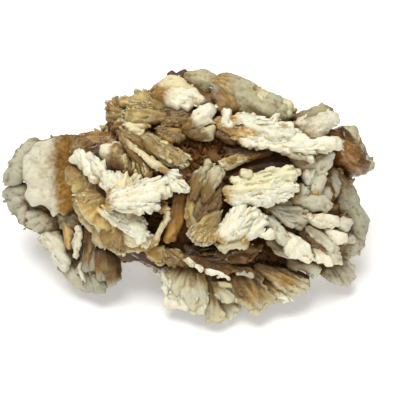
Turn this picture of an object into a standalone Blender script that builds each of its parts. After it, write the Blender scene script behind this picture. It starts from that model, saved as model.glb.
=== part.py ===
"""A barite crystal cluster: a mound of tabular blades, grown together as a cockscomb into one piece.

Units are metres, with +Z up. The cluster rests on the flat break of its base at z = 0.

The blades are laid out as someone sees them who looks down at the front of the cluster, in
millimetres: across to the right, up along the slope, and toward the viewer.
"""

import math
from collections import namedtuple

import bmesh
import bpy
import numpy as np
from mathutils import Matrix, Vector

MM = 0.001
SLOPE_DEG = 45.0  # the layout plane faces the viewer at this height above the horizon
BASE_CUT = 20.5  # height of the layout's centre above the flat break, mm
CENTRE_SHIFT = (-0.4, -0.7)  # moves the cluster's box over the origin, mm
GROUND_SIZE = 300.0  # side of the block that cuts the flat break, mm
VIEWED_FROM = 333.0  # what stands nearer the viewer is laid out as it looks from this far, mm

# The mound that the blades stand on: half sizes across and up, its rise, and how far its rim lies back, mm
DOME_ACROSS, DOME_UP, DOME_RISE, DOME_BACK = 60.0, 42.0, 20.0, 5.0

# The massive intergrown heart is one rough body round these lumps, seen from its own middle: centre and
# half sizes, each across, up and toward, mm
HEART_MIDDLE = (2, 0, -4)
HEART_LUMPS = (
    ((2, 3, -5), (38, 26, 21)),
    ((-34, 5, -4), (15, 10.5, 12)),
    ((-30, -12, -4), (11, 12, 9)),
    ((39, -5, -3), (13, 18.5, 16)),
    ((12, -20, -1), (21, 11, 14)),
    ((12, 25, -5), (22, 8, 13)),
)
HEART_BACK = 0.75  # the lumps' half sizes away from the viewer, as a share of those toward
# The broad foot: centre and half sizes along the part's own axes, from the layout's centre, mm
FOOT_CENTRE, FOOT_SIZES = (2, 8, -16), (37, 21, 14)
HEART_SIDES, HEART_RINGS = 18, 11  # facets round the heart, and from pole to pole
HEART_STEPS = 60  # how finely the lumps' reach is found along a ray
HEART_REACH = 60.0  # beyond this no lump reaches, mm
HEART_ROUGH = 0.05  # how uneven the heart is, as a share of its radius
HEART_SEED = 5

# A blade's place is its middle: across and up, and its lift over the mound. Turn is the way it grew, in
# degrees from across, and lean is how far its broad face looks right and up. Length is as seen.
Blade = namedtuple("Blade", "across up lift turn lean_right lean_up length breadth thick tone")

FRONT_BLADES = {
    "left_block": (
        Blade(-41.5, 6.5, -1, 140, -0.30, 0.30, 20, 20, 4.0, "cream"),
        Blade(-47, 2, -5, 180, -0.45, 0.15, 16, 24, 3.5, "grey"),
        Blade(-45.5, -5, -5, 200, -0.35, -0.35, 17, 10, 3.0, "grey"),
        Blade(-51.5, 5, -3, 185, -0.40, 0.60, 8, 5, 2.4, "cream"),
        Blade(-45.5, 13.5, -6, 160, -0.30, 0.55, 13, 9, 3.0, "cream"),
        Blade(-29, 16.5, -4, 8, 0.10, 0.70, 20, 8, 3.4, "brown"),
        Blade(-38, 6, -1, 86, 0.25, 0.15, 22, 8, 4.0, "honey"),
    ),
    "rosette": (
        Blade(-26.5, 1.5, 0, 215, 0.30, 0.35, 18, 18, 2.6, "honey"),
        Blade(-24.5, -5, 1, 232, 0.20, 0.40, 17, 14, 2.4, "honey"),
        Blade(-20, -10.5, 1, 255, 0.05, 0.45, 15, 14, 2.2, "honey"),
        Blade(-14, -11, 2, 275, -0.05, 0.45, 10, 11, 2.2, "honey"),
        Blade(-28.5, 9, 3, -42, 0.50, 0.55, 15, 8, 2.6, "white"),
        Blade(-28.5, 1, 3, -35, -0.45, -0.55, 11, 9, 2.0, "honey"),
        Blade(-31, 5, 1, -50, -0.50, -0.35, 11, 9, 1.8, "honey"),
        Blade(-20.5, 5.2, 4, -20, 0.15, 0.60, 11, 7, 2.6, "white"),
        Blade(-22.5, 12, 0, -60, -0.30, 0.30, 9, 8, 3.0, "cream"),
        Blade(-17.5, 9.5, 0, 82, 0.70, -0.10, 8, 9, 2.0, "honey"),
        Blade(-13.5, 7.5, 0, 78, 0.65, -0.10, 8, 9, 2.0, "honey"),
    ),
    "white_star": (
        Blade(-14.5, 1, 6, 16, 0.10, 0.50, 21, 9.5, 3.4, "white"),
        Blade(-19, -7.5, 4, -34, 0.45, 0.60, 18, 8, 2.8, "white"),
        Blade(-15.5, -8.5, 3, -55, 0.10, 0.30, 11, 8, 3.0, "white"),
        Blade(-7.5, -9.5, 3, 62, -0.65, 0.30, 11, 8, 2.2, "cream"),
        Blade(-3.5, 3.8, 4, -36, 0.35, 0.50, 9, 8, 3.4, "white"),
    ),
    "diagonals": (
        Blade(-11, 11.3, 3, -35, 0.46, 0.72, 22, 9, 2.6, "cream"),
        Blade(-7, 14.2, 0, -33, 0.25, 0.50, 16, 10, 2.8, "honey"),
        Blade(-12, 16.5, -1, -33, 0.30, 0.60, 16, 9, 2.4, "honey"),
        Blade(0, 7.8, 0, -36, 0.40, 0.55, 9, 8, 2.4, "brown"),
    ),
    "top_left": (
        Blade(-2.5, 29, 2, -14, 0.10, 0.50, 15, 9, 4.4, "white"),
        Blade(-3.8, 31.8, -1, -10, 0.00, 0.50, 12, 7, 3.8, "cream"),
        Blade(-3.5, 35, -4, 10, 0.00, 0.60, 6, 6, 2.8, "brown"),
        Blade(3.8, 33.3, -3, -18, 0.10, 0.45, 12, 9, 4.0, "cream"),
        Blade(-16.5, 26.5, -1, 160, 0.00, 0.45, 15, 9, 2.6, "honey"),
        Blade(-20, 24, -1, 172, -0.25, 0.20, 8, 8, 3.2, "honey"),
        Blade(-12.5, 24, 1, 165, -0.10, 0.40, 13, 8, 2.6, "honey"),
        Blade(-15.5, 20.5, 0, 178, -0.10, 0.25, 8, 7, 2.6, "cream"),
        Blade(-12, 28, -2, 155, 0.00, 0.45, 10, 7, 2.6, "honey"),
        Blade(-4, 19.3, 0, -8, 0.10, 0.55, 10, 8, 2.4, "brown"),
        Blade(-4, 23.8, 0, 0, 0.10, 0.40, 10, 8, 2.8, "brown"),
        Blade(4.5, 23.8, 3, 42, 0.10, 0.30, 10, 7, 4.4, "white"),
        Blade(4.3, 18.8, 2, 4, 0.00, 0.40, 8, 7, 4.0, "white"),
    ),
    "top_right": (
        Blade(18.5, 29.5, -1, -20, 0.05, 0.40, 24, 12, 4.8, "grey"),
        Blade(11, 30.5, 1, -42, 0.10, 0.30, 10, 7, 3.8, "cream"),
        Blade(26, 27, 0, -36, 0.25, 0.35, 10, 7, 3.8, "cream"),
        Blade(21.5, 20.7, 3, -12, 0.15, 0.60, 22, 10, 3.4, "white"),
        Blade(19.5, 18.3, 4, -12, 0.15, 0.75, 19, 10, 2.4, "white"),
        Blade(11.8, 22, 3, 60, 0.10, 0.40, 6, 6, 3.4, "white"),
        Blade(30.3, 19.3, 4, -20, 0.20, 0.45, 8, 7, 3.2, "white"),
        Blade(29, 15.6, 5, -4, 0.05, 0.80, 29, 11, 2.8, "white"),
        Blade(36, 13.6, 4, -2, 0.05, 0.75, 16, 9, 2.2, "white"),
        Blade(38, 22.3, 1, 25, 0.00, 0.45, 14, 10, 4.8, "white"),
        Blade(34.5, 23.2, -1, 20, 0.00, 0.50, 9, 7, 3.2, "cream"),
        Blade(40.5, 18.8, 1, 22, 0.10, 0.70, 9, 8, 2.8, "white"),
    ),
    "right_block": (
        Blade(47.5, 12, -5, -42, 0.35, 0.15, 17, 14, 6.0, "brown"),
        Blade(48.5, 17.8, -1, -70, 0.30, 0.35, 7, 6, 3.2, "cream"),
        Blade(51, 14.5, -5, -62, 0.60, 0.35, 8, 5, 2.6, "grey"),
        Blade(52.3, 10, -4, -20, 0.45, 0.00, 7, 6, 4.2, "brown"),
        Blade(47.6, -3.6, -4, -68, 0.45, 0.15, 24, 12, 3.8, "grey"),
        Blade(48.6, -12.6, -3, -75, 0.50, 0.10, 9, 9, 3.4, "grey"),
        Blade(45.8, 3, -2, -60, 0.30, 0.30, 11, 8, 3.2, "grey"),
    ),
    "middle": (
        Blade(4.3, 5.2, 2, 62, -0.70, 0.35, 12, 11, 2.4, "honey"),
        Blade(7.8, 5, 3, 60, -0.60, 0.30, 11, 10, 2.6, "honey"),
        Blade(4, -2, 1, 75, -0.30, 0.30, 12, 10, 2.6, "brown"),
        Blade(15, 11.3, 1, 16, -0.10, 0.75, 14, 10, 2.0, "honey"),
        Blade(19, 13.4, -1, 4, 0.00, 0.60, 9, 8, 2.0, "honey"),
        Blade(4.5, -9.5, 4, 220, -0.30, 0.20, 14, 11, 2.8, "honey"),
        Blade(19.5, 2.6, 5, 8, -0.05, 0.40, 19, 10, 3.6, "cream"),
        Blade(28, 3.2, 6, 20, 0.10, 0.35, 11, 9, 3.4, "white"),
        Blade(17, 6.2, 5, 10, -0.10, 0.50, 6, 5, 2.4, "honey"),
        Blade(13.5, -8, 5, 50, -0.25, 0.30, 16, 9, 4.0, "white"),
        Blade(19.5, -9, 6, 48, 0.10, 0.30, 12, 8, 4.0, "white"),
        Blade(13.5, -13.4, 5, 8, -0.05, 0.45, 10, 7, 3.2, "white"),
    ),
    "fingers": (
        Blade(31, -12, 5, -43, 0.25, 0.30, 19, 7.5, 4.2, "white"),
        Blade(27, -14.5, 3, -38, 0.15, 0.35, 11, 6, 3.4, "grey"),
        Blade(35.8, -20.6, 0, -24, 0.20, 0.45, 11, 8, 3.4, "white"),
        Blade(30, -6, 4, -28, 0.25, 0.35, 12, 7, 3.4, "grey"),
        Blade(40, -7, 4, -8, 0.10, 0.45, 10, 6, 3.8, "white"),
        Blade(41, -13, 3, -48, 0.40, 0.35, 15, 6, 3.6, "white"),
        Blade(43.5, -11.5, 4, -25, 0.30, 0.40, 8, 5.5, 3.4, "white"),
        Blade(41.3, -17.5, 3, -38, 0.30, 0.40, 9, 5.5, 3.4, "white"),
        Blade(38, -14.5, 2, -42, 0.45, 0.50, 9, 8, 1.8, "honey"),
        Blade(47, -8.8, 2, 12, 0.35, 0.25, 6, 6, 3.8, "white"),
        Blade(48, -12.8, 1, 30, 0.40, 0.30, 6, 6, 3.2, "grey"),
        Blade(37.5, -1.8, 3, -4, 0.15, 0.35, 12, 8, 3.6, "grey"),
        Blade(38.8, 4.6, 2, 86, 0.40, 0.20, 11, 7, 4.0, "grey"),
        Blade(35.5, 6.5, 3, 96, 0.10, 0.30, 6, 6, 3.6, "grey"),
        Blade(34.6, 2.4, 4, 80, -0.20, 0.25, 6, 6, 3.6, "grey"),
        Blade(40, 9.8, 3, 40, 0.30, 0.35, 11, 8, 3.4, "white"),
        Blade(45.5, -22.4, 3, -58, 0.30, 0.30, 8, 10, 3.6, "grey"),
        Blade(44, -19, 1, -35, 0.30, 0.45, 8, 6, 3.0, "grey"),
    ),
    "bottom_fans": (
        Blade(0.3, -27.5, 2, -76, -0.15, 0.30, 15, 12, 3.2, "white"),
        Blade(-2.8, -26.5, -1, -66, -0.45, 0.15, 11, 7, 3.0, "white"),
        Blade(7.8, -30.8, 4, -83, 0.10, 0.25, 14, 7, 3.4, "cream"),
        Blade(12, -30.5, 2, -56, 0.30, 0.30, 11, 7, 3.2, "white"),
        Blade(20, -27, 1, -66, 0.20, 0.30, 14, 15, 3.2, "honey"),
        Blade(26.5, -26.5, 2, -42, 0.35, 0.40, 11, 8, 3.0, "honey"),
        Blade(32, -25.3, 0, -24, 0.30, 0.45, 10, 7, 3.0, "cream"),
        Blade(2, -20.3, 4, -22, 0.25, 0.75, 8, 10, 1.8, "white"),
        Blade(9, -23.2, 4, -18, 0.20, 0.75, 9, 10, 1.8, "white"),
        Blade(11, -26.2, 4, -10, 0.15, 0.70, 7, 9, 1.8, "white"),
        Blade(14.5, -17, 1, 10, -0.10, 0.60, 14, 10, 2.6, "grey"),
        Blade(22.5, -20.5, 1, -24, 0.25, 0.50, 12, 8, 2.6, "brown"),
        Blade(-4.5, -17, 2, -30, 0.05, 0.35, 9, 7, 2.8, "cream"),
        Blade(-11.5, -17.5, -2, -18, 0.20, -0.55, 16, 7, 2.6, "brown"),
    ),
    "left_foot": (
        Blade(-39.5, -16, -3, -64, -0.50, 0.05, 14, 9, 3.8, "white"),
        Blade(-34.5, -23, -3, -44, -0.35, -0.15, 11, 8, 3.4, "white"),
        Blade(-33.3, -12.3, -1, -98, -0.35, 0.20, 11, 7, 3.4, "grey"),
        Blade(-36.5, -11, -2, -94, -0.40, 0.10, 10, 6, 2.8, "honey"),
        Blade(-31.5, -21.5, -1, -84, -0.45, 0.05, 11, 8, 2.8, "honey"),
        Blade(-27.5, -23.5, -2, -78, -0.25, 0.10, 10, 8, 3.2, "grey"),
        Blade(-23.2, -20.5, -3, -86, 0.35, 0.10, 11, 7, 3.0, "brown"),
    ),
}

# The hidden back is filled by rule with fans of blades, each like the leaves of an open book. A row of
# fans is its height above the horizon, its first and last bearing from straight back, in degrees, as seen
# from the heart's middle, and how many fans it has
BACK_ROWS = ((-12, -76, 80, 6), (14, -42, 72, 5), (42, -30, 34, 3))
FAN_BLADES = 3
FAN_SUNK = 3.0  # how deep a fan's middle lies in the heart, mm
BACK_LENGTH, BACK_BREADTH, BACK_THICK = (13.0, 17.0), (16.0, 22.0), (3.2, 4.4)  # from and to, mm
FAN_OPEN_DEG = 28.0  # angle between the leaves of a fan
FAN_PITCH = 4.5  # distance between the leaves of a fan, mm
BACK_TONES = ("white", "cream", "honey", "white", "grey")
BACK_SEED = 7

# A rim has more corners on a longer blade: the length in mm that each count starts from
RIM_CORNERS = ((0, 6), (9, 8), (16, 10))
CHISEL = 0.84  # size of a blade's flat faces beside its sharp rim
RIM_JAG = 0.10  # how far the rim's corners stand in and out, as a share of its radius
SQUARENESS = 2.6  # power of the superellipse that a blade's outline follows
JAG_SEED = 3

# Base colour and roughness of each tone of blade
TONES = {
    "white": ((0.88, 0.85, 0.74), 0.62),
    "cream": ((0.78, 0.72, 0.56), 0.55),
    "grey": ((0.62, 0.60, 0.50), 0.48),
    "honey": ((0.60, 0.42, 0.19), 0.32),
    "brown": ((0.36, 0.22, 0.10), 0.35),
}


def layout_axes():
    """The layout's across, up and toward directions in the part's frame."""
    slope = math.radians(SLOPE_DEG)
    up = Vector((0, math.sin(slope), math.cos(slope)))
    toward = Vector((0, -math.cos(slope), math.sin(slope)))
    return Vector((1, 0, 0)), up, toward


def placed(across, up, toward):
    """A point of the layout, in mm, as a point of the part in metres."""
    x_axis, up_axis, toward_axis = layout_axes()
    smaller = 1 - toward / VIEWED_FROM
    point = (x_axis * across + up_axis * up) * smaller + toward_axis * toward
    return (point + Vector((*CENTRE_SHIFT, BASE_CUT))) * MM


def dome_height(across, up):
    """How far the mound stands toward the viewer there, mm."""
    inside = 1 - (across / DOME_ACROSS) ** 2 - (up / DOME_UP) ** 2
    return DOME_RISE * math.sqrt(max(inside, 0)) - DOME_BACK


def blade_matrix(blade):
    """Places a blade's own frame: x the way it grew, y across it and z out of its broad face."""
    facing = math.sqrt(1 - blade.lean_right**2 - blade.lean_up**2)
    turn = math.radians(blade.turn)
    rise = -(math.cos(turn) * blade.lean_right + math.sin(turn) * blade.lean_up) / facing
    x_axis, up_axis, toward_axis = layout_axes()
    grown = x_axis * math.cos(turn) + up_axis * math.sin(turn) + toward_axis * rise
    normal = x_axis * blade.lean_right + up_axis * blade.lean_up + toward_axis * facing
    side = normal.cross(grown).normalized()
    centre = placed(blade.across, blade.up, dome_height(blade.across, blade.up) + blade.lift)
    turned = Matrix((grown.normalized(), side, normal)).transposed()
    return Matrix.Translation(centre) @ turned.to_4x4(), grown.length


def outline_radius(angle):
    """Radius of the rounded outline of a blade that is 2 long and 2 wide."""
    power = SQUARENESS
    return (abs(math.cos(angle)) ** power + abs(math.sin(angle)) ** power) ** (-1 / power)


def blade_mesh(name, length, breadth, thick, jag):
    """A flat tabular crystal with a sharp, jagged rim."""
    sides = max(corners for start, corners in RIM_CORNERS if length >= start)
    bm = bmesh.new()
    bmesh.ops.create_cone(
        bm, cap_ends=True, segments=sides, radius1=CHISEL, radius2=CHISEL, depth=1
    )
    walls = [e for e in bm.edges if e.verts[0].co.z * e.verts[1].co.z < 0]
    bmesh.ops.subdivide_edges(bm, edges=walls, cuts=1)
    corner_jag = jag.uniform(-RIM_JAG, RIM_JAG, sides)
    start = jag.uniform(0, 1)
    for vert in bm.verts:
        corner = round(math.atan2(vert.co.x, vert.co.y) / math.tau * sides) % sides
        angle = (corner + start) / sides * math.tau
        tooth = RIM_JAG * (-1) ** corner
        radius = outline_radius(angle) * (1 + corner_jag[corner] + tooth)
        if vert.co.z:
            radius *= CHISEL
        vert.co.x = radius * math.cos(angle) * length / 2
        vert.co.y = radius * math.sin(angle) * breadth / 2
        vert.co.z *= thick
    bmesh.ops.recalc_face_normals(bm, faces=bm.faces)
    bmesh.ops.scale(bm, vec=(MM, MM, MM), verts=bm.verts)
    mesh = bpy.data.meshes.new(name)
    bm.to_mesh(mesh)
    bm.free()
    return mesh


def back_rays():
    """Directions from the heart's middle to the fans of the hidden back."""
    for height_deg, first_deg, last_deg, count in BACK_ROWS:
        height = math.radians(height_deg)
        for k in range(count):
            bearing = math.radians(first_deg + (last_deg - first_deg) * k / (count - 1))
            level = math.cos(height)
            yield Vector((level * math.sin(bearing), level * math.cos(bearing), math.sin(height)))


def back_blades():
    """Fans of blades that stand on the heart's hidden back."""
    pick = np.random.default_rng(BACK_SEED)
    for fan, outward in enumerate(back_rays()):
        ray = [outward.dot(axis) for axis in layout_axes()]
        radius = heart_radius(ray) - FAN_SUNK
        centre = placed(*(m + r * radius for m, r in zip(HEART_MIDDLE, ray)))
        hinge = outward.cross(Vector(pick.normal(size=3))).normalized()
        for leaf in range(FAN_BLADES):
            step = leaf - (FAN_BLADES - 1) / 2
            open_by = Matrix.Rotation(math.radians(FAN_OPEN_DEG) * step, 3, hinge)
            grown = open_by @ outward
            normal = grown.cross(hinge)
            turned = Matrix((grown, normal.cross(grown), normal)).transposed()
            shift = outward.cross(hinge) * (-FAN_PITCH * step * MM)
            yield (
                Matrix.Translation(centre + shift) @ turned.to_4x4(),
                pick.uniform(*BACK_LENGTH),
                pick.uniform(*BACK_BREADTH),
                pick.uniform(*BACK_THICK),
                BACK_TONES[(fan * FAN_BLADES + leaf) % len(BACK_TONES)],
            )


def tone_material(tone):
    """Barite of one tone, from opaque white to clear brown."""
    name = f"barite_{tone}"
    if name in bpy.data.materials:
        return bpy.data.materials[name]
    colour, roughness = TONES[tone]
    material = bpy.data.materials.new(name)
    material.use_nodes = True
    surface = material.node_tree.nodes["Principled BSDF"]
    surface.inputs["Base Color"].default_value = (*colour, 1)
    surface.inputs["Roughness"].default_value = roughness
    surface.inputs["Metallic"].default_value = 0.0
    material.diffuse_color = (*colour, 1)
    return material


def add_object(name, mesh, collection, tone):
    made = bpy.data.objects.new(name, mesh)
    mesh.materials.append(tone_material(tone))
    collection.objects.link(made)
    return made


def add_helper(name, mesh, collection, tone):
    """A shape that is joined to the cluster or cut from it, and isn't a piece of its own."""
    made = add_object(name, mesh, collection, tone)
    made.hide_render = True
    made.display_type = "WIRE"
    return made


def heart_radius(ray):
    """How far the farthest lump reaches along a ray from the heart's middle, mm."""
    x_axis, up_axis, toward_axis = layout_axes()
    reached = 0.0
    for step in range(1, HEART_STEPS + 1):
        radius = HEART_REACH * step / HEART_STEPS
        point = [m + r * radius for m, r in zip(HEART_MIDDLE, ray)]
        for centre, half_sizes in HEART_LUMPS:
            offset = [(p - c) / h for p, c, h in zip(point, centre, half_sizes)]
            if offset[2] < 0:
                offset[2] /= HEART_BACK
            if sum(part**2 for part in offset) < 1:
                reached = radius
        foot = x_axis * point[0] + up_axis * point[1] + toward_axis * point[2]
        offset = [(f - c) / h for f, c, h in zip(foot, FOOT_CENTRE, FOOT_SIZES)]
        if sum(part**2 for part in offset) < 1:
            reached = radius
    return reached


def heart_mesh(name):
    """The rough massive heart that the blades grow out of."""
    rough = np.random.default_rng(HEART_SEED)
    bm = bmesh.new()
    bmesh.ops.create_uvsphere(bm, u_segments=HEART_SIDES, v_segments=HEART_RINGS, radius=1)
    for vert in bm.verts:
        radius = heart_radius(vert.co) * (1 + rough.uniform(-HEART_ROUGH, HEART_ROUGH))
        vert.co = placed(*(m + r * radius for m, r in zip(HEART_MIDDLE, vert.co)))
    bmesh.ops.triangulate(bm, faces=bm.faces)
    bmesh.ops.recalc_face_normals(bm, faces=bm.faces)
    mesh = bpy.data.meshes.new(name)
    bm.to_mesh(mesh)
    bm.free()
    return mesh


def ground_block():
    """What is broken away under the flat base."""
    bm = bmesh.new()
    bmesh.ops.create_cube(bm, size=GROUND_SIZE * MM)
    bmesh.ops.translate(bm, verts=bm.verts, vec=(0, 0, -GROUND_SIZE * MM / 2))
    mesh = bpy.data.meshes.new("ground")
    bm.to_mesh(mesh)
    bm.free()
    return mesh


def shell_of(start, seen):
    """The vertices that hang together with this one."""
    shell = [start]
    seen.add(start)
    for vert in shell:
        for edge in vert.link_edges:
            other = edge.other_vert(vert)
            if other not in seen:
                seen.add(other)
                shell.append(other)
    return shell


def signed_volume(shell):
    """Volume within a closed shell, below zero where it bounds a hollow."""
    faces = {face for vert in shell for face in vert.link_faces}
    corners = ([v.co for v in face.verts] for face in faces)
    return sum(a.dot(b.cross(c)) for a, b, c in corners) / 6


def grow_together(cluster):
    """Makes the blades and the heart one mesh, without the small hollows left shut between them."""
    evaluated = cluster.evaluated_get(bpy.context.evaluated_depsgraph_get())
    grown = bpy.data.meshes.new_from_object(evaluated)
    bm = bmesh.new()
    bm.from_mesh(grown)
    bmesh.ops.triangulate(bm, faces=bm.faces)
    seen = set()
    shells = [shell_of(vert, seen) for vert in bm.verts if vert not in seen]
    hollow = [v for shell in shells if signed_volume(shell) < 0 for v in shell]
    bmesh.ops.delete(bm, geom=hollow, context="VERTS")
    bm.to_mesh(grown)
    bm.free()
    cluster.modifiers.clear()
    cluster.data = grown


def new_collection(name):
    made = bpy.data.collections.new(name)
    bpy.context.scene.collection.children.link(made)
    return made


def build():
    for old in list(bpy.data.objects):
        bpy.data.objects.remove(old)
    parts = new_collection("barite_crystal_cluster")
    blades = new_collection("blades")
    cutters = new_collection("cutters")

    jag = np.random.default_rng(JAG_SEED)
    for group, members in FRONT_BLADES.items():
        for k, blade in enumerate(members):
            matrix, stretch = blade_matrix(blade)
            mesh = blade_mesh(f"{group}_{k}", blade.length * stretch, blade.breadth, blade.thick, jag)
            add_helper(mesh.name, mesh, blades, blade.tone).matrix_world = matrix
    for k, (matrix, length, breadth, thick, tone) in enumerate(back_blades()):
        mesh = blade_mesh(f"back_{k}", length, breadth, thick, jag)
        add_helper(mesh.name, mesh, blades, tone).matrix_world = matrix
    ground = add_helper("ground", ground_block(), cutters, "brown")

    cluster = add_object("barite_cluster", heart_mesh("barite_cluster"), parts, "brown")
    grown = cluster.modifiers.new("grown_together", "BOOLEAN")
    grown.operation = "UNION"
    grown.operand_type = "COLLECTION"
    grown.collection = blades
    grown.material_mode = "TRANSFER"
    broken = cluster.modifiers.new("broken_off", "BOOLEAN")
    broken.operation = "DIFFERENCE"
    broken.object = ground
    grow_together(cluster)


build()
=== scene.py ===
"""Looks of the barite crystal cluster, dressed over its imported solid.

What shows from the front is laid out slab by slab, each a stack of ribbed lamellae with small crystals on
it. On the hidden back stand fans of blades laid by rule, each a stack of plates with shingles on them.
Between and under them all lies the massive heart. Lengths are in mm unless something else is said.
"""

import math
from collections import namedtuple

import bpy
import numpy as np
from mathutils import Matrix, Vector
from mathutils.geometry import delaunay_2d_cdt


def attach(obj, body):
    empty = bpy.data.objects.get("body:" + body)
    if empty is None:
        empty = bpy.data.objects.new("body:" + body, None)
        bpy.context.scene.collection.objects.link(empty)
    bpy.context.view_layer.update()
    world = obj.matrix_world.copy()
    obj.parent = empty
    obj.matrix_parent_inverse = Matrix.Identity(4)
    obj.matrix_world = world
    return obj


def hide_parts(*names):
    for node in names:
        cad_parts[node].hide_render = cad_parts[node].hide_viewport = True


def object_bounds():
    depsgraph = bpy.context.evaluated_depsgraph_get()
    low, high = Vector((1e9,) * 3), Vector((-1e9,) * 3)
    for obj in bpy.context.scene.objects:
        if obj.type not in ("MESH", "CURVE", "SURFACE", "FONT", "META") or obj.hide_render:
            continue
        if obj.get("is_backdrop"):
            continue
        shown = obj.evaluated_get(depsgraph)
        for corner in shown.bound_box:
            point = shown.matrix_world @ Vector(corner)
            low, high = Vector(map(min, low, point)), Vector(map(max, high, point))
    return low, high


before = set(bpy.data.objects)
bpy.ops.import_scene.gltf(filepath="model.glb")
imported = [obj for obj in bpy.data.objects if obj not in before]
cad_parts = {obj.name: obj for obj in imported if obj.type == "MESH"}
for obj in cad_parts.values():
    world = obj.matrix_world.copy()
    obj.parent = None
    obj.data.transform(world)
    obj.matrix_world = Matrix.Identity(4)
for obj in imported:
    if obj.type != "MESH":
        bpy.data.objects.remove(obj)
cad_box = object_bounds()

MM = 0.001
SEED = 11
SLOPE = math.radians(45)  # the layout plane faces the viewer at this height above the horizon
CENTRE = (-0.4, -0.7, 20.5)  # the layout's centre in the part's frame
VIEWED_FROM = 333.0  # what stands nearer the viewer is laid out as it looks from this far

# The mound that the slabs stand on: half sizes across and up, its rise, and how far its rim lies back
DOME_ACROSS, DOME_UP, DOME_RISE, DOME_BACK = 60.0, 42.0, 20.0, 5.0

# The heart is one rough body round these lumps, seen from its own middle: centre and half sizes, each
# across, up and toward
HEART_MIDDLE = (2, 0, -4)
HEART_LUMPS = (
    ((2, 3, -5), (38, 26, 21)),
    ((-34, 5, -4), (15, 10.5, 12)),
    ((-30, -12, -4), (11, 12, 9)),
    ((39, -5, -3), (13, 18.5, 16)),
    ((12, -20, -1), (21, 11, 14)),
    ((12, 25, -5), (22, 8, 13)),
)
HEART_BACK = 0.75  # the lumps' half sizes away from the viewer, as a share of those toward
# The broad foot: centre and half sizes along the part's own axes, from the layout's centre
FOOT_CENTRE, FOOT_SIZES = (2, 8, -16), (37, 21, 14)
HEART_REACH = 60.0  # beyond this no lump reaches
HEART_STEPS, HEART_FINE_STEPS = 60, 200  # how finely the lumps' reach is found along a ray
HEART_ROWS, HEART_AROUND = 96, 160  # points of the heart's own skin, from pole to pole and around
HEART_SUNK, HEART_LUMPY, HEART_ROUGH, PATCH = 0.6, (6, 2.6), (3.4, 1.5), 9  # its depth, sizes of its relief
HEART_GRAINS, GRAIN_SUNK = 4800, 0.4  # crystals on it, and how deep they stand in it
HEART_GRAIN_SIZES = ((1.6, 1.0, 0.5), (4.2, 2.2, 1.0))  # the least and the greatest
FRONT, BEHIND = 0.25, (0.5, 0.0)  # its dark front, darkened as painted shade for the cavities it shows in, and crusted back, by how far a ray points to the viewer
BURIED, BELOW = 2.2, -1.5  # crystals this deep in the heart, or this low, aren't made

# The hidden back is filled by rule with fans of blades, each like the leaves of an open book. A row of
# fans is its height above the horizon, its first and last bearing from straight back, in degrees, as seen
# from the heart's middle, and how many fans it has
BACK_ROWS = ((-12, -76, 80, 6), (14, -42, 72, 5), (42, -30, 34, 3))
FAN_BLADES = 3
FAN_SUNK = 3.0  # how deep a fan's middle lies in the heart
BACK_LENGTH, BACK_BREADTH, BACK_THICK = (13.0, 17.0), (16.0, 22.0), (3.2, 4.4)  # from and to
FAN_OPEN = math.radians(28)  # angle between the leaves of a fan
FAN_PITCH = 4.5  # distance between the leaves of a fan
BACK_TONES = ("white", "cream", "honey", "white", "grey")
BACK_SEED = 7

# The layout's across, up and toward directions in the part's frame
AXES = (
    Vector((1, 0, 0)),
    Vector((0, math.sin(SLOPE), math.cos(SLOPE))),
    Vector((0, -math.cos(SLOPE), math.sin(SLOPE))),
)

# What shows from the front is laid out slab by slab. A slab is a stack of lamellae with an outline, as
# someone sees it who looks along the layout's toward axis: across and up by turns, in steps. Lift is its
# height over the mound, turn the way it grew, in degrees from across, lean how far its face looks right
# and up, and rib how strongly it is ribbed, from 0 for a smooth one
STEP = 0.3
Slab = namedtuple("Slab", "tone lift turn lean_right lean_up thick rib outline")
FRONT_SLABS = {}
FRONT_SLABS["left_block"] = (
    ("sunset", -1.4, 184, -0.18, 0.2, 4.5, 0, (-167, 30, -165, 40, -159, 47, -153, 54, -142, 57, -130, 60,
     -115, 58, -107, 43, -105, 20, -107, 0, -112, -10, -117, -15, -123, -19, -129, -17, -134, -20, -138, -13,
     -143, -10, -148, -8, -155, -9, -159, -4, -163, 2, -160, 10, -165, 19)),
    ("grey", -4, 150, -0.3, 0.45, 4, 0.3, (-183, 13, -180, 27, -176, 37, -170, 48, -157, 57, -140, 59, -127,
     60, -113, 59, -115, 43, -133, 40, -153, 27, -167, 13)),
    ("grey", -5, 200, -0.4, -0.2, 4, 0.3, (-185, 7, -167, 15, -147, 7, -128, -8, -125, -23, -131, -35, -145,
     -37, -159, -34, -169, -27, -175, -17, -181, -7)),
    ("smoke", -3, 205, -0.4, -0.1, 2.6, 0.4, (-178, 3, -168, 7, -161, -3, -159, -18, -165, -25, -171, -16)),
    ("smoke", -2.4, 220, -0.3, -0.3, 2.4, 0.4, (-161, -15, -147, -13, -135, -21, -136, -32, -149, -35, -160,
     -29)),
    ("smoke", -2.6, 140, -0.3, 0.3, 2.4, 0.4, (-177, 35, -165, 49, -153, 57, -148, 49, -160, 35, -170, 25)),
    ("smoke", -3.4, 190, -0.4, 0.3, 1.4, 0.3, (-183, 13, -178, 19, -170, 22, -162, 19, -168, 14, -177, 12)),
    ("amber", -4, 5, 0, 0.65, 4, 0.7, (-120, 58, -110, 60, -100, 61, -87, 64, -80, 63, -72, 67, -65, 62, -67,
     50, -87, 48, -100, 47, -113, 45, -118, 50)),
    ("crumb", -2.5, 20, 0.1, 0.45, 3, 1.2, (-117, 55, -100, 55, -87, 55, -73, 55, -68, 43, -80, 37, -93, 38,
     -103, 40, -115, 40)),
)
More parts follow.
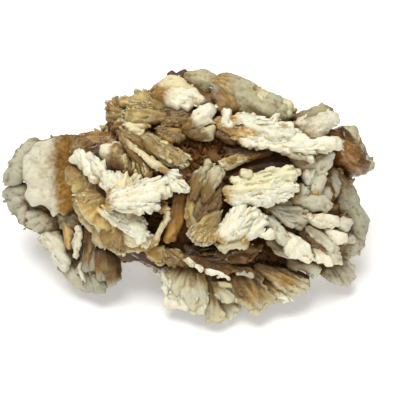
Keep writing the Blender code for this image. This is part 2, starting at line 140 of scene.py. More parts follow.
FRONT_SLABS["rosette"] = (
    ("rind", 0.4, 222, -0.28, -0.16, 3.2, 0.5, (-121, 27, -115, 32, -108, 27, -102, 17, -96, 2, -88, -12, -75,
     -18, -63, -30, -48, -38, -33, -42, -31, -49, -45, -55, -58, -57, -68, -59, -77, -53, -87, -51, -95, -45,
     -95, -37, -103, -28, -112, -15, -119, -3, -121, 12)),
    ("rind", 1.6, 222, -0.24, -0.14, 1.8, 0.5, (-114, 15, -109, 20, -103, 13, -95, 5, -88, -10, -75, -20, -68,
     -30, -72, -40, -82, -41, -92, -31, -102, -23, -109, -11, -114, 2)),
    ("honey", 0.8, 205, -0.1, 0.1, 2, 0.9, (-113, 32, -105, 37, -97, 27, -90, 13, -95, 2, -105, 2, -111, 10)),
    ("honey", 1.6, 205, 0, 0.15, 2, 0.9, (-106, 5, -97, 8, -88, 5, -80, -3, -78, -11, -87, -13, -97, -10,
     -104, -3)),
    ("amber", 0.2, 140, 0.1, 0.2, 2, 0.9, (-102, 27, -90, 20, -80, 12, -73, 3, -73, -10, -83, -13, -93, 0,
     -103, 10)),
    ("mauve", 1.8, 240, -0.2, -0.2, 1.4, 0.9, (-87, -33, -73, -29, -59, -33, -57, -43, -68, -51, -82, -45)),
    ("white", 3.2, 132, 0.2, 0.35, 2.4, 1.2, (-113, 42, -110, 46, -105, 45, -100, 40, -95, 35, -88, 27, -85,
     20, -88, 14, -95, 17, -101, 23, -106, 31, -112, 37)),
    ("white", 4, 118, 0.1, 0.45, 2.6, 1.2, (-100, 40, -93, 38, -88, 34, -83, 34, -82, 28, -77, 24, -73, 22,
     -70, 24, -65, 20, -65, 12, -70, 5, -78, 3, -83, 8, -87, 15, -92, 24, -97, 32)),
    ("cream", 4, 80, 0.05, 0.6, 2.4, 1.2, (-78, 15, -68, 21, -58, 18, -52, 21, -45, 17, -50, 8, -63, 3, -77,
     2, -80, 7)),
    ("half", 0.2, 168, -0.25, 0.15, 1.6, 0.3, (-87, 40, -87, 50, -78, 53, -68, 55, -62, 47, -59, 33, -59, 22,
     -67, 20, -77, 23, -84, 32)),
    ("tan", 0.6, 95, 0.4, 0, 2, 0.8, (-65, 42, -59, 43, -55, 33, -52, 22, -57, 15, -63, 20, -65, 30)),
    ("tan", 1, 95, 0.4, 0, 1.8, 0.8, (-54, 40, -48, 39, -44, 27, -43, 17, -49, 15, -53, 23)),
    ("tan", 1.4, 95, 0.4, 0, 1.6, 0.8, (-45, 33, -39, 31, -35, 23, -35, 17, -41, 16, -45, 22)),
)
FRONT_SLABS["white_star"] = (
    ("white", 6, 14, 0, 0.35, 3.6, 0.8, (-78, 2, -70, 6, -60, 10, -50, 15, -40, 17, -30, 19, -22, 20, -15, 22,
     -10, 17, -8, 12, -15, 9, -18, 5, -23, 1, -28, -3, -29, -8, -35, -13, -42, -16, -47, -18, -52, -15, -60,
     -15, -68, -13, -75, -11, -81, -8)),
    ("white", 5.4, -34, 0.3, 0.45, 2.8, 0.8, (-22, 23, -13, 25, -6, 17, -1, 9, -5, 4, -11, 6, -17, 12)),
    ("white", 4, -34, 0.1, 0.3, 2.8, 0.9, (-91, -14, -85, -10, -77, -11, -67, -13, -53, -15, -46, -18, -43,
     -23, -40, -29, -38, -37, -40, -42, -48, -43, -57, -39, -65, -33, -73, -27, -82, -21)),
    ("cream", 2.8, -28, 0.1, 0.1, 2.2, 0.8, (-65, -34, -57, -36, -43, -38, -33, -39, -29, -43, -33, -49, -43,
     -51, -53, -48, -63, -43)),
    ("cream", 3.4, 66, -0.4, 0.1, 1.8, 0.5, (-21, -12, -17, -17, -19, -27, -25, -37, -30, -46, -35, -46, -31,
     -35, -26, -25, -24, -17)),
    ("tan", 2.4, 60, 0, 0.2, 2.2, 0.6, (-33, -5, -25, -3, -19, -7, -18, -13, -23, -17, -29, -15, -33, -12)),
    ("amber", 0.4, -97, 0.2, 0.1, 3, 0.5, (-19, 10, -10, 9, -3, 8, 1, 7, 1, -7, -3, -20, -6, -30, -13, -42,
     -22, -43, -20, -27, -18, -10)),
)
FRONT_SLABS["diagonals"] = (
    ("cream", 3.4, -38, 0.4, 0.55, 1.8, 0.4, (-67, 61, -58, 56, -50, 50, -40, 43, -30, 36, -20, 30, -13, 25,
     -5, 17, -3, 12, -9, 14, -17, 18, -27, 25, -37, 32, -48, 41, -58, 49, -68, 58)),
    ("amber", 1.8, -38, 0.3, 0, 2, 0.8, (-65, 57, -53, 46, -40, 35, -25, 25, -30, 21, -40, 27, -50, 35, -62,
     48)),
    ("gold", 2, -35, 0.25, 0.45, 2.6, 1.3, (-43, 61, -32, 60, -20, 54, -13, 49, -5, 44, 2, 38, 2, 33, -3, 29,
     -10, 30, -18, 33, -27, 38, -37, 45, -45, 53)),
    ("amber", 1.2, -36, 0.25, 0.3, 2.4, 1, (-65, 62, -50, 61, -40, 55, -27, 43, -17, 35, -22, 30, -33, 35,
     -47, 45, -62, 55)),
    ("brown", 0.6, -34, 0.3, 0.3, 2.4, 1, (-20, 34, -10, 33, 1, 27, 9, 23, 6, 15, -3, 17, -12, 24)),
    ("gold", 0.4, -38, 0.2, 0.45, 2.4, 1.2, (-70, 67, -53, 65, -37, 64, -27, 57, -33, 51, -47, 55, -60, 58)),
)
FRONT_SLABS["top_left"] = (
    ("crest", 2, -14, 0, 0.35, 4.4, 0.5, (-37, 102, -32, 107, -17, 109, -3, 108, 9, 105, 16, 96, 11, 90, 4,
     87, -5, 89, -13, 89, -22, 92, -30, 96)),
    ("cream", 0.8, -12, 0, 0.55, 3.4, 0.3, (-37, 105, -35, 110, -25, 117, -19, 121, -6, 118, 2, 113, 10, 106,
     0, 102, -20, 103)),
    ("dark", -3, 10, 0, 0.5, 3, 0.8, (-21, 120, -19, 123, -13, 124, -8, 124, -3, 126, -2, 120, -7, 116, -15,
     116)),
    ("green", -3, -22, 0.05, 0.4, 4, 0.3, (-7, 121, 0, 125, 7, 126, 15, 127, 23, 124, 29, 119, 30, 112, 25,
     105, 18, 101, 12, 105, 3, 111, -5, 117)),
    ("brown", -2, -45, 0.1, 0.3, 3, 0.5, (2, 115, 12, 109, 18, 105, 27, 105, 30, 93, 28, 85, 17, 88, 10, 97,
     3, 107)),
    ("honey", 0.6, 170, 0, 0.2, 3, 0.6, (-35, 100, -22, 99, -13, 95, -15, 89, -28, 86, -38, 90)),
    ("comb", -1, 118, -0.1, 0.35, 2.6, 1.5, (-81, 85, -81, 93, -75, 98, -68, 97, -64, 89, -68, 83, -75, 83)),
    ("sugar", -1, 190, -0.3, 0.2, 3, 1.2, (-81, 81, -77, 87, -67, 88, -58, 82, -62, 73, -68, 71, -74, 75)),
    ("sugar", -1, 150, 0, 0.4, 3.2, 1.2, (-68, 95, -63, 100, -55, 98, -52, 106, -43, 105, -33, 105, -29, 99,
     -37, 90, -53, 88, -65, 89)),
    ("gold", 0.4, 168, 0, 0.4, 2.2, 1.4, (-61, 89, -50, 94, -37, 95, -29, 93, -33, 87, -47, 84, -59, 83)),
    ("sugar", 0.6, 175, 0, 0.3, 2.8, 1.4, (-65, 85, -50, 87, -32, 87, -21, 83, -22, 75, -37, 73, -52, 73, -65,
     75)),
    ("cream", 0.8, 175, 0, 0.25, 2.4, 1.3, (-65, 72, -60, 76, -55, 73, -48, 75, -41, 74, -39, 70, -43, 65,
     -45, 60, -50, 60, -57, 64)),
    ("brown", -1, 200, -0.2, 0.1, 2.6, 0.8, (-75, 73, -65, 75, -55, 67, -62, 59, -70, 60, -75, 65)),
    ("crumb", 1, -10, 0, 0.45, 2.2, 1.3, (-31, 69, -17, 68, -6, 64, -5, 55, -15, 54, -29, 59)),
    ("crumb", 0, 0, 0, 0.35, 2.8, 1.2, (-30, 87, -17, 90, 0, 90, 5, 82, 3, 72, -10, 69, -25, 71, -31, 78)),
    ("crest", 2.8, 38, 0, 0.3, 3.8, 0.5, (-6, 68, 1, 78, 7, 86, 18, 92, 30, 90, 28, 84, 25, 78, 28, 74, 20,
     71, 7, 67)),
    ("stem", 2.2, 35, 0, 0.2, 2.6, 0.5, (-7, 67, 5, 71, 18, 71, 27, 70, 28, 63, 25, 57, 13, 55, 2, 59)),
)
FRONT_SLABS["top_right"] = (
    ("green", -2, -22, 0.05, 0.4, 4.6, 0.3, (28, 119, 33, 123, 43, 124, 52, 120, 62, 116, 70, 110, 83, 103,
     95, 99, 102, 95, 104, 88, 102, 77, 90, 72, 63, 76, 47, 79, 32, 82, 27, 92, 23, 102, 23, 108)),
    ("smoky", -0.4, 132, 0.05, 0.25, 2.6, 0.5, (23, 111, 30, 113, 40, 106, 48, 97, 53, 89, 47, 82, 33, 83, 27,
     93, 23, 103)),
    ("cream", 0.4, -36, 0.15, 0.3, 3, 0.4, (65, 111, 73, 108, 85, 102, 95, 99, 103, 95, 105, 87, 103, 78, 92,
     75, 82, 79, 75, 89, 69, 100)),
    ("white", 3.6, 75, 0, 0.3, 3, 0.8, (34, 76, 36, 83, 43, 83, 46, 77, 43, 68, 35, 69)),
    ("white", 4.4, -10, 0.05, 0.45, 3.4, 0.7, (45, 78, 50, 83, 57, 83, 67, 80, 77, 77, 82, 76, 85, 78, 92, 78,
     93, 73, 98, 74, 103, 73, 109, 69, 112, 61, 103, 57, 93, 58, 80, 61, 67, 66, 53, 70, 44, 71)),
    ("half", 3.4, -14, 0.05, 0.5, 2.6, 0.8, (28, 78, 37, 78, 50, 73, 67, 69, 83, 63, 102, 59, 103, 55, 90, 54,
     73, 55, 57, 59, 40, 64, 29, 70)),
    ("brown", 2, -10, 0, 0.5, 2.6, 0.8, (27, 72, 40, 68, 57, 63, 73, 58, 60, 53, 40, 56, 28, 61)),
    ("white", 5.2, -5, 0.05, 0.5, 3.2, 0.8, (49, 58, 57, 59, 70, 57, 83, 55, 97, 56, 110, 58, 118, 57, 127,
     54, 137, 56, 149, 54, 143, 49, 138, 45, 128, 43, 123, 40, 118, 41, 105, 41, 97, 44, 83, 47, 67, 50, 53,
     54)),
    ("white", 2.6, 24, 0.05, 0.35, 4.4, 0.4, (103, 73, 108, 77, 117, 80, 127, 83, 137, 87, 143, 86, 149, 81,
     151, 75, 147, 69, 142, 65, 137, 59, 132, 55, 123, 55, 117, 58, 110, 61, 105, 67)),
    ("green", 0, 20, 0, 0.5, 3.4, 0.5, (104, 75, 107, 82, 113, 85, 123, 88, 130, 90, 134, 94, 140, 91, 146,
     87, 147, 78, 133, 72, 117, 70)),
    ("amber", -2, -20, 0.1, 0.3, 3.4, 0.2, (134, 60, 140, 68, 147, 68, 154, 62, 154, 54, 144, 50, 136, 52)),
)
FRONT_SLABS["right_block"] = (
    ("glass", -5, -30, 0.25, 0.1, 8, 0.2, (145, 67, 150, 70, 155, 71, 160, 69, 167, 60, 171, 53, 177, 43, 184,
     35, 182, 27, 173, 21, 165, 20, 159, 16, 154, 23, 148, 27, 142, 32, 142, 45, 143, 55)),
    ("green", -2.6, 110, 0.2, 0.25, 2.6, 0.3, (155, 68, 160, 70, 167, 70, 170, 64, 172, 60, 171, 54, 164, 53,
     158, 56, 155, 62)),
    ("green", -4, 120, 0.45, 0.2, 2.2, 1.2, (168, 61, 172, 59, 175, 50, 179, 41, 172, 41, 167, 49)),
    ("smoke", -3.4, -10, 0.3, 0.05, 2.6, 0.6, (170, 41, 178, 41, 185, 35, 183, 27, 174, 27, 169, 33)),
    ("grey", -3, -66, 0.35, 0.1, 3.4, 0.4, (142, 30, 150, 27, 155, 23, 160, 17, 165, 12, 170, 2, 175, -10,
     179, -23, 178, -37, 175, -43, 165, -37, 160, -25, 153, -15, 147, -3, 142, 5, 139, 17)),
    ("smoke", -3, -75, 0.35, -0.1, 3.2, 0.4, (160, -23, 167, -27, 174, -37, 178, -42, 175, -52, 168, -59, 160,
     -59, 153, -53, 153, -43, 157, -33)),
    ("smoke", -1, -75, 0.2, 0.1, 2.4, 0.7, (141, 27, 148, 25, 151, 12, 148, 2, 140, 7, 137, 19)),
)
FRONT_SLABS["middle"] = (
    ("stem", 3, 62, -0.35, 0.2, 2.4, 0.8, (2, 5, 5, 13, 10, 24, 15, 31, 21, 36, 26, 33, 23, 27, 20, 20, 16,
     14, 13, 7, 10, 0, 5, -3)),
    ("stem", 3.6, 63, -0.3, 0.2, 2.4, 0.8, (20, 22, 24, 29, 28, 31, 33, 29, 37, 25, 34, 17, 29, 10, 25, 2, 20,
     -5, 14, -6, 13, 3, 17, 12)),
    ("mauve", 1.6, 56, -0.2, 0.15, 2.8, 1.3, (4, 7, 13, 10, 23, 11, 35, 15, 36, 3, 34, -8, 29, -16, 18, -24,
     7, -30, 3, -17, 3, -7)),
    ("honey", 2.4, -92, -0.4, 0.05, 1.6, 0.6, (5, 7, 6, -3, 5, -17, 8, -25, 3, -31, -1, -22, -3, -13, 0, -3,
     1, 4)),
    ("gold", 4, 228, -0.1, 0.15, 3, 1.4, (-1, -36, 8, -28, 17, -21, 27, -15, 34, -15, 34, -28, 31, -40, 25,
     -47, 18, -48, 10, -47, 3, -43)),
    ("tan", 1.4, 190, -0.05, 0.5, 2.2, 0.9, (30, 33, 35, 37, 43, 40, 55, 42, 67, 44, 82, 44, 73, 40, 60, 36,
     52, 32, 42, 28, 37, 27, 32, 29)),
    ("gold", 0.6, 180, 0, 0.4, 2, 1.2, (49, 41, 56, 46, 63, 47, 70, 45, 80, 47, 82, 42, 67, 40)),
    ("brown", -0.4, 180, 0, 0.3, 2.6, 1.2, (33, 49, 40, 51, 53, 53, 73, 52, 87, 49, 80, 40, 53, 39, 38, 40)),
    ("brown", -1, 10, 0, 0.3, 3, 0.2, (37, 28, 53, 33, 67, 40, 83, 43, 103, 43, 122, 39, 117, 27, 90, 23, 67,
     17, 47, 13, 36, 17)),
    ("butter", 4.6, 8, -0.05, 0.3, 3, 0.6, (35, 7, 40, 10, 47, 11, 43, 17, 48, 19, 55, 20, 65, 22, 73, 25, 83,
     29, 93, 29, 103, 30, 110, 28, 113, 25, 110, 19, 103, 13, 100, 3, 90, -2, 73, -4, 57, -5, 43, -5, 37, 0)),
    ("white", 6.2, 12, 0.05, 0.3, 2.4, 0.9, (72, 7, 77, 10, 83, 16, 91, 21, 102, 20, 110, 12, 111, 7, 105, 1,
     98, -5, 92, -4, 87, -5, 80, -1, 70, 2)),
    ("white", 5.8, 0, 0, 0.4, 2, 0.9, (40, -1, 53, 2, 70, 5, 83, 3, 88, -4, 78, -9, 60, -7, 43, -7)),
    ("cream", 5, 20, -0.05, 0.35, 1.8, 0.6, (52, 19, 53, 25, 60, 27, 64, 24, 65, 19, 57, 17)),
    ("white", 5.6, 52, -0.2, 0.2, 2.2, 0.7, (46, -10, 51, -7, 53, -11, 46, -21, 38, -31, 31, -41, 26, -43, 29,
     -35, 34, -25, 39, -17)),
    ("white", 6.4, 50, -0.05, 0.25, 3.4, 0.6, (51, -12, 58, -10, 68, -10, 71, -14, 69, -20, 63, -27, 60, -37,
     51, -41, 40, -44, 33, -45, 30, -41, 33, -35, 38, -28, 43, -21)),
    ("white", 5.8, 48, 0.05, 0.25, 3, 0.7, (59, -29, 66, -21, 73, -19, 78, -23, 79, -30, 77, -36, 83, -38, 80,
     -41, 72, -40, 63, -43, 57, -43, 55, -35)),
    ("cream", 4.6, 190, -0.05, -0.1, 2.8, 0.8, (28, -48, 33, -41, 42, -39, 50, -39, 61, -42, 62, -48, 57, -52,
     43, -51, 36, -55, 32, -52)),
)
FRONT_SLABS["fingers"] = (
    ("pale", 2.6, 28, 0.15, 0.3, 3, 0.5, (105, 41, 113, 41, 123, 39, 130, 44, 138, 46, 145, 45, 147, 40, 144,
     32, 140, 23, 134, 19, 128, 23, 120, 25, 113, 27, 107, 30, 102, 36)),
    ("pale", 3, 100, 0, 0.25, 2.4, 1.1, (116, 24, 123, 27, 128, 22, 127, 17, 122, 11, 117, 15)),
    ("smoke", 2.6, 80, -0.1, 0.2, 2.4, 0.5, (109, 12, 115, 15, 121, 11, 123, 5, 119, -2, 112, -2, 109, 4)),
    ("smoke", 2.8, 86, 0.15, 0.15, 2.8, 0.5, (123, 23, 128, 27, 134, 23, 139, 17, 135, 7, 131, -1, 123, 0,
     121, 10)),
    ("smoke", 2.4, 80, 0.25, 0.15, 2.4, 0.5, (133, 11, 141, 11, 144, 2, 141, -7, 134, -5, 131, 3)),
    ("smoke", 3.4, -16, 0.1, 0.2, 3, 0.5, (101, 2, 110, 5, 120, 3, 130, 3, 139, -1, 145, -8, 142, -13, 137,
     -16, 128, -15, 122, -13, 110, -10, 104, -9)),
    ("smoke", 2.6, -22, 0.1, 0.2, 2.8, 0.7, (76, -7, 87, -3, 100, -5, 111, -9, 120, -17, 118, -26, 113, -31,
     103, -29, 93, -24, 85, -18, 77, -16)),
    ("white", 4.4, -18, 0.15, 0.3, 2.8, 0.5, (116, -13, 123, -16, 133, -17, 142, -17, 147, -20, 150, -29, 140,
     -31, 132, -31, 124, -27, 119, -22)),
    ("pale", 3.4, 0, 0.2, 0.25, 2.8, 0.4, (149, -23, 157, -21, 164, -26, 161, -31, 159, -36, 151, -34, 148,
     -28)),
    ("white", 4.2, -28, 0.15, 0.3, 2.6, 0.5, (133, -31, 143, -32, 152, -35, 157, -42, 152, -47, 146, -47, 140,
     -41)),
    ("smoke", 2.2, 10, 0.3, 0.15, 2.6, 0.4, (156, -39, 163, -36, 168, -40, 166, -45, 157, -47, 151, -48)),
    ("pale", 3.2, -52, 0.25, 0.2, 2.2, 0.5, (118, -21, 127, -25, 137, -34, 145, -42, 151, -51, 153, -62, 155,
     -67, 147, -66, 139, -58, 134, -48, 126, -40, 119, -32, 116, -27)),
    ("pale", 3.8, -44, 0.25, 0.2, 1.8, 0.7, (116, -28, 125, -31, 136, -40, 143, -49, 146, -55, 140, -56, 131,
     -48, 123, -40, 117, -36)),
    ("comb", 2.4, -44, 0.3, 0.15, 2.2, 1.4, (111, -31, 117, -29, 125, -39, 134, -48, 141, -57, 137, -59, 127,
     -51, 117, -46, 110, -39)),
    ("white", 3.8, -42, 0.2, 0.25, 2.4, 0.6, (124, -49, 132, -50, 139, -56, 146, -63, 144, -69, 137, -68, 128,
     -63, 123, -57)),
    ("white", 5.4, -43, 0.15, 0.25, 2.8, 0.5, (97, -35, 105, -36, 114, -43, 121, -50, 126, -58, 128, -64, 120,
     -66, 110, -63, 100, -58, 95, -53, 98, -47)),
    ("pale", 4.4, -48, 0.05, 0.25, 2.4, 0.5, (78, -21, 85, -19, 92, -25, 99, -33, 103, -42, 101, -49, 94, -48,
     87, -43, 81, -35, 78, -28)),
    ("smoke", 3, -38, 0.05, 0.25, 2.6, 0.5, (76, -39, 83, -39, 90, -44, 98, -49, 100, -56, 103, -62, 93, -60,
     84, -53, 79, -47)),
    ("pale", 1.6, -40, 0.1, 0.2, 2.6, 0.4, (101, -61, 113, -64, 125, -65, 134, -70, 133, -75, 129, -82, 124,
     -82, 117, -76, 108, -72, 100, -69)),
    ("smoke", 1, -52, 0.15, 0.1, 3.4, 0.5, (138, -64, 148, -66, 155, -67, 163, -71, 167, -78, 162, -87, 152,
     -89, 143, -86, 136, -79, 133, -72)),
    ("pale", 0.4, -40, 0.25, 0.1, 2.4, 0.4, (152, -62, 160, -63, 167, -70, 163, -75, 155, -71)),
)
FRONT_SLABS["bottom_fans"] = (
    ("white", -1, -70, -0.3, 0.1, 2.6, 0.7, (-32, -65, -23, -69, -13, -77, -3, -90, 2, -105, -10, -107, -19,
     -104, -22, -93, -26, -82)),
    ("dawn", 2, -100, -0.1, 0.2, 3.2, 0.7, (-21, -72, -13, -66, -3, -66, 10, -69, 18, -75, 21, -83, 22, -97,
     21, -110, 17, -113, 13, -114, 9, -117, 4, -114, 0, -109, -3, -105, -9, -103, -17, -99, -20, -87, -22,
     -80)),
    ("stem", 3.4, -83, 0, 0.2, 2.4, 0.7, (16, -79, 23, -77, 31, -79, 30, -90, 29, -100, 32, -110, 37, -119,
     36, -124, 32, -127, 28, -124, 23, -124, 19, -122, 17, -113, 19, -100, 17, -90)),
    ("dawn", 2.8, -48, 0.1, 0.2, 2.2, 0.8, (27, -97, 37, -99, 44, -105, 51, -110, 50, -116, 44, -120, 40,
     -117, 34, -112)),
    ("dawn", 3.8, -44, 0.05, 0.3, 1.6, 0.8, (23, -85, 32, -87, 40, -93, 47, -101, 42, -104, 32, -100, 25,
     -93)),
    ("cream", 2.8, -12, 0.05, 0.5, 1.2, 0.5, (29, -85, 40, -86, 45, -90, 40, -92, 31, -90)),
    ("fan", 2.6, -58, 0.1, 0.2, 3, 0.7, (33, -82, 45, -75, 63, -72, 75, -78, 81, -93, 87, -99, 92, -104, 83,
     -106, 75, -111, 70, -115, 60, -112, 50, -107, 42, -102, 37, -93)),
    ("half", 3, -40, 0.15, 0.3, 2, 0.7, (74, -84, 80, -83, 87, -90, 94, -94, 102, -98, 105, -105, 97, -105,
     89, -103, 83, -98, 77, -92)),
    ("fan", 2.4, -26, 0.1, 0.3, 2.8, 0.7, (65, -69, 80, -69, 97, -73, 115, -83, 122, -86, 121, -92, 113, -97,
     105, -98, 98, -96, 89, -91, 77, -80)),
    ("brown", -1.4, -24, 0.1, 0.4, 2.6, 0.8, (63, -62, 80, -63, 93, -67, 108, -73, 121, -82, 113, -88, 93,
     -85, 78, -81, 63, -77)),
    ("white", 6, -27, 0.1, 0.55, 0.9, 0.4, (-5, -63, 2, -64, 10, -68, 15, -72, 12, -73, 3, -70, -2, -66)),
    ("white", 7, -19, 0.1, 0.55, 0.9, 0.4, (17, -73, 23, -73, 33, -77, 43, -81, 41, -83, 32, -81, 21, -77)),
    ("smoke", 2.8, -28, 0.1, 0.55, 1, 0.5, (47, -69, 57, -72, 66, -79, 57, -79, 48, -75)),
    ("brown", 1.2, 6, -0.05, 0.35, 2.4, 1, (-3, -48, 17, -49, 30, -51, 43, -50, 57, -49, 67, -47, 74, -50, 71,
     -57, 62, -64, 50, -66, 37, -67, 20, -65, 3, -60)),
    ("brown", 2.4, 8, -0.05, 0.5, 1, 0.7, (10, -55, 27, -55, 43, -53, 60, -49, 75, -46, 73, -50, 57, -55, 40,
     -59, 23, -59)),
    ("brown", 2.6, -26, 0.1, 0.35, 2, 0.8, (-10, -61, 7, -60, 23, -64, 43, -68, 60, -73, 63, -77, 43, -75, 27,
     -73, 13, -70, 0, -69, -11, -67)),
    ("crumb", 2, -40, -0.1, 0.2, 2.4, 1.2, (-27, -55, -18, -51, -9, -53, -5, -60, -11, -66, -20, -67, -26,
     -61)),
    ("honey", 0.6, -40, -0.1, 0.1, 2.6, 0.8, (-42, -48, -27, -48, -20, -53, -25, -66, -35, -63, -43, -57)),
    ("dark", -1, -18, 0, -0.4, 2.6, 0.7, (-70, -48, -47, -52, -27, -58, -20, -70, -33, -69, -50, -65, -69,
     -60)),
)
FRONT_SLABS["left_foot"] = (
    ("pale", -2.6, -64, -0.35, 0.05, 4, 0.5, (-149, -42, -143, -35, -135, -33, -127, -35, -122, -45, -120,
     -57, -118, -67, -124, -74, -132, -67, -137, -57, -142, -51, -149, -47)),
    ("smoke", -2.6, -38, -0.3, -0.1, 3.6, 0.5, (-131, -66, -122, -62, -115, -69, -109, -75, -102, -82, -92,
     -87, -90, -95, -100, -96, -111, -91, -121, -81, -128, -74)),
    ("honey", -1.8, -85, -0.3, 0.05, 2.6, 0.5, (-129, -19, -121, -20, -116, -30, -115, -40, -117, -51, -122,
     -48, -124, -37, -126, -28)),
    ("pale", -0.8, -98, -0.25, 0.1, 1.8, 0.5, (-111, -29, -106, -29, -106, -43, -109, -58, -113, -59, -115,
     -49, -113, -37)),
    ("pale", -0.6, -80, -0.3, 0.05, 1.6, 0.5, (-107, -62, -104, -63, -105, -70, -103, -77, -101, -85, -105,
     -82, -111, -75, -111, -70)),
    ("smoky", -1.8, -95, -0.2, 0.05, 2.6, 0.8, (-103, -29, -92, -30, -90, -47, -93, -69, -101, -72, -105,
     -50)),
    ("smoky", -1.8, -90, -0.1, 0, 3, 0.8, (-100, -55, -90, -49, -80, -53, -78, -70, -82, -83, -93, -81, -100,
     -72)),
    ("grey", -1, -75, -0.1, 0, 2.6, 0.4, (-105, -73, -93, -73, -83, -79, -80, -91, -88, -97, -99, -93, -105,
     -85)),
    ("smoky", -2.4, -86, 0.2, 0, 3, 0.5, (-85, -53, -75, -54, -67, -60, -66, -73, -71, -86, -80, -89, -87,
     -73)),
    ("grey", -2.6, 160, -0.3, 0.1, 2.4, 0.5, (-132, -12, -120, -15, -112, -11, -105, -21, -112, -32, -121,
     -32, -129, -29)),
)

WHITE, IVORY, CREAM = (0.90, 0.87, 0.71), (0.82, 0.745, 0.49), (0.66, 0.57, 0.33)
PALE, SMOKE, GREY, GREEN = (0.72, 0.70, 0.57), (0.56, 0.535, 0.42), (0.46, 0.46, 0.35), (0.54, 0.51, 0.34)
HONEY, GOLD, AMBER = (0.72, 0.53, 0.22), (0.72, 0.56, 0.26), (0.45, 0.27, 0.08)
ASH, RESIN = (0.22, 0.19, 0.12), (0.46, 0.27, 0.085)
SUNSET, LOAM = (0.35, 0.195, 0.03), (0.60, 0.42, 0.17)
# DARK also serves as painted shade deep in the gaps and on the heart's front
TAN, MAUVE, BROWN, DARK = (0.47, 0.36, 0.18), (0.34, 0.23, 0.09), (0.26, 0.14, 0.04), (0.09, 0.036, 0.008)

# How each tone of barite looks and is built. shell and under: colours of the crust and of what it covers;
# start, span: where along the growth, from -1 to 1, the crust starts and how soon it is full; rim: how wide
# a strip of it lines the rim; clear: 0 for opaque barite, 1 for translucent and 2 for clear; tooth: how far
# the rim stands in and out; ridge, lumpy: heights of ribs and lumps; layer: distance between lamellae;
# pitch: distance between shingles; grains: small crystals per mm of rim
Tone = namedtuple("Tone", "shell under start span rim clear tooth ridge lumpy layer pitch grains")
TONES = {
    "white": Tone(WHITE, HONEY, -1.2, 0.7, 3.0, 0, 0.9, 0.44, 0.50, 1.3, 1.5, 0.5),
    "crest": Tone((0.86, 0.83, 0.67), MAUVE, -0.9, 1.1, 1.5, 0, 0.9, 0.44, 0.50, 1.3, 1.5, 0.4),
    "butter": Tone((0.80, 0.76, 0.54), HONEY, -1.2, 0.9, 3.0, 0, 0.6, 0.40, 0.44, 1.3, 1.6, 0.4),
    "cream": Tone(IVORY, TAN, -1.2, 1.0, 2.5, 0, 0.6, 0.28, 0.26, 1.3, 1.6, 0.4),
    "pale": Tone(PALE, TAN, -1.6, 1.0, 2.0, 0, 0.9, 0.34, 0.42, 1.3, 1.6, 0.4),
    "half": Tone(WHITE, TAN, -0.3, 1.2, 0.8, 0, 0.5, 0.24, 0.22, 1.4, 1.6, 0.3),
    "sunset": Tone(PALE, SUNSET, -0.66, 1.1, 0.8, 0, 0.45, 0.20, 0.22, 1.6, 1.8, 0.2),
    "fan": Tone((0.88, 0.78, 0.52), LOAM, 0.0, 1.5, 1.3, 1, 0.6, 0.30, 0.16, 1.1, 1.3, 0.3),
    "dawn": Tone((0.96, 0.90, 0.66), (0.88, 0.67, 0.29), -0.7, 1.3, 1.4, 1, 0.6, 0.26, 0.30, 1.2, 1.4, 0.25),
    "rind": Tone((0.88, 0.80, 0.52), HONEY, 0.2, 1.1, 1.4, 1, 0.5, 0.22, 0.30, 1.2, 1.4, 0.25),
    "honey": Tone(CREAM, HONEY, 0.9, 0.6, 0.5, 1, 0.6, 0.15, 0.14, 1.0, 1.3, 0.3),
    "gold": Tone(IVORY, GOLD, 0.4, 1.0, 0.4, 1, 0.7, 0.20, 0.14, 1.0, 1.2, 0.4),
    "amber": Tone(CREAM, AMBER, 1.2, 0.7, 0.0, 1, 0.6, 0.14, 0.14, 1.0, 1.3, 0.3),
    "brown": Tone(CREAM, BROWN, 1.3, 0.7, 0.0, 1, 0.6, 0.14, 0.14, 1.1, 1.3, 0.2),
    "dark": Tone(CREAM, DARK, 1.5, 0.5, 0.0, 1, 0.6, 0.12, 0.14, 1.2, 1.4, 0.2),
    "mauve": Tone(CREAM, MAUVE, 1.0, 0.8, 0.0, 1, 0.6, 0.16, 0.14, 1.1, 1.3, 0.3),
    "tan": Tone(IVORY, TAN, 0.3, 1.0, 0.6, 0, 0.6, 0.22, 0.20, 1.2, 1.4, 0.3),
    "glass": Tone(CREAM, RESIN, 1.2, 0.6, 0.0, 2, 0.4, 0.06, 0.40, 2.4, 2.0, 0.1),
    "smoky": Tone(SMOKE, MAUVE, 0.2, 1.0, 0.5, 1, 0.6, 0.20, 0.20, 1.2, 1.4, 0.3),
    "stem": Tone(IVORY, MAUVE, -0.3, 1.1, 0.8, 1, 0.6, 0.24, 0.20, 1.4, 1.6, 0.3),
    "crumb": Tone(TAN, MAUVE, 0.6, 1.0, 0.0, 1, 0.9, 0.28, 0.30, 1.0, 1.1, 1.0),
    "comb": Tone(WHITE, AMBER, 0.3, 0.9, 0.4, 1, 0.9, 0.40, 0.05, 1.0, 1.3, 0.5),
    "sugar": Tone(IVORY, GOLD, 0.5, 1.0, 0.5, 1, 0.9, 0.28, 0.30, 1.0, 1.1, 1.0),
    "smoke": Tone(SMOKE, TAN, -1.1, 1.0, 2.0, 0, 0.9, 0.34, 0.42, 1.5, 1.7, 0.3),
    "grey": Tone(GREY, ASH, -1.1, 1.5, 1.0, 0, 0.6, 0.30, 0.50, 1.6, 1.8, 0.2),
    "green": Tone(GREEN, TAN, -1.2, 1.2, 1.5, 0, 0.6, 0.34, 0.55, 1.6, 1.8, 0.2),
}

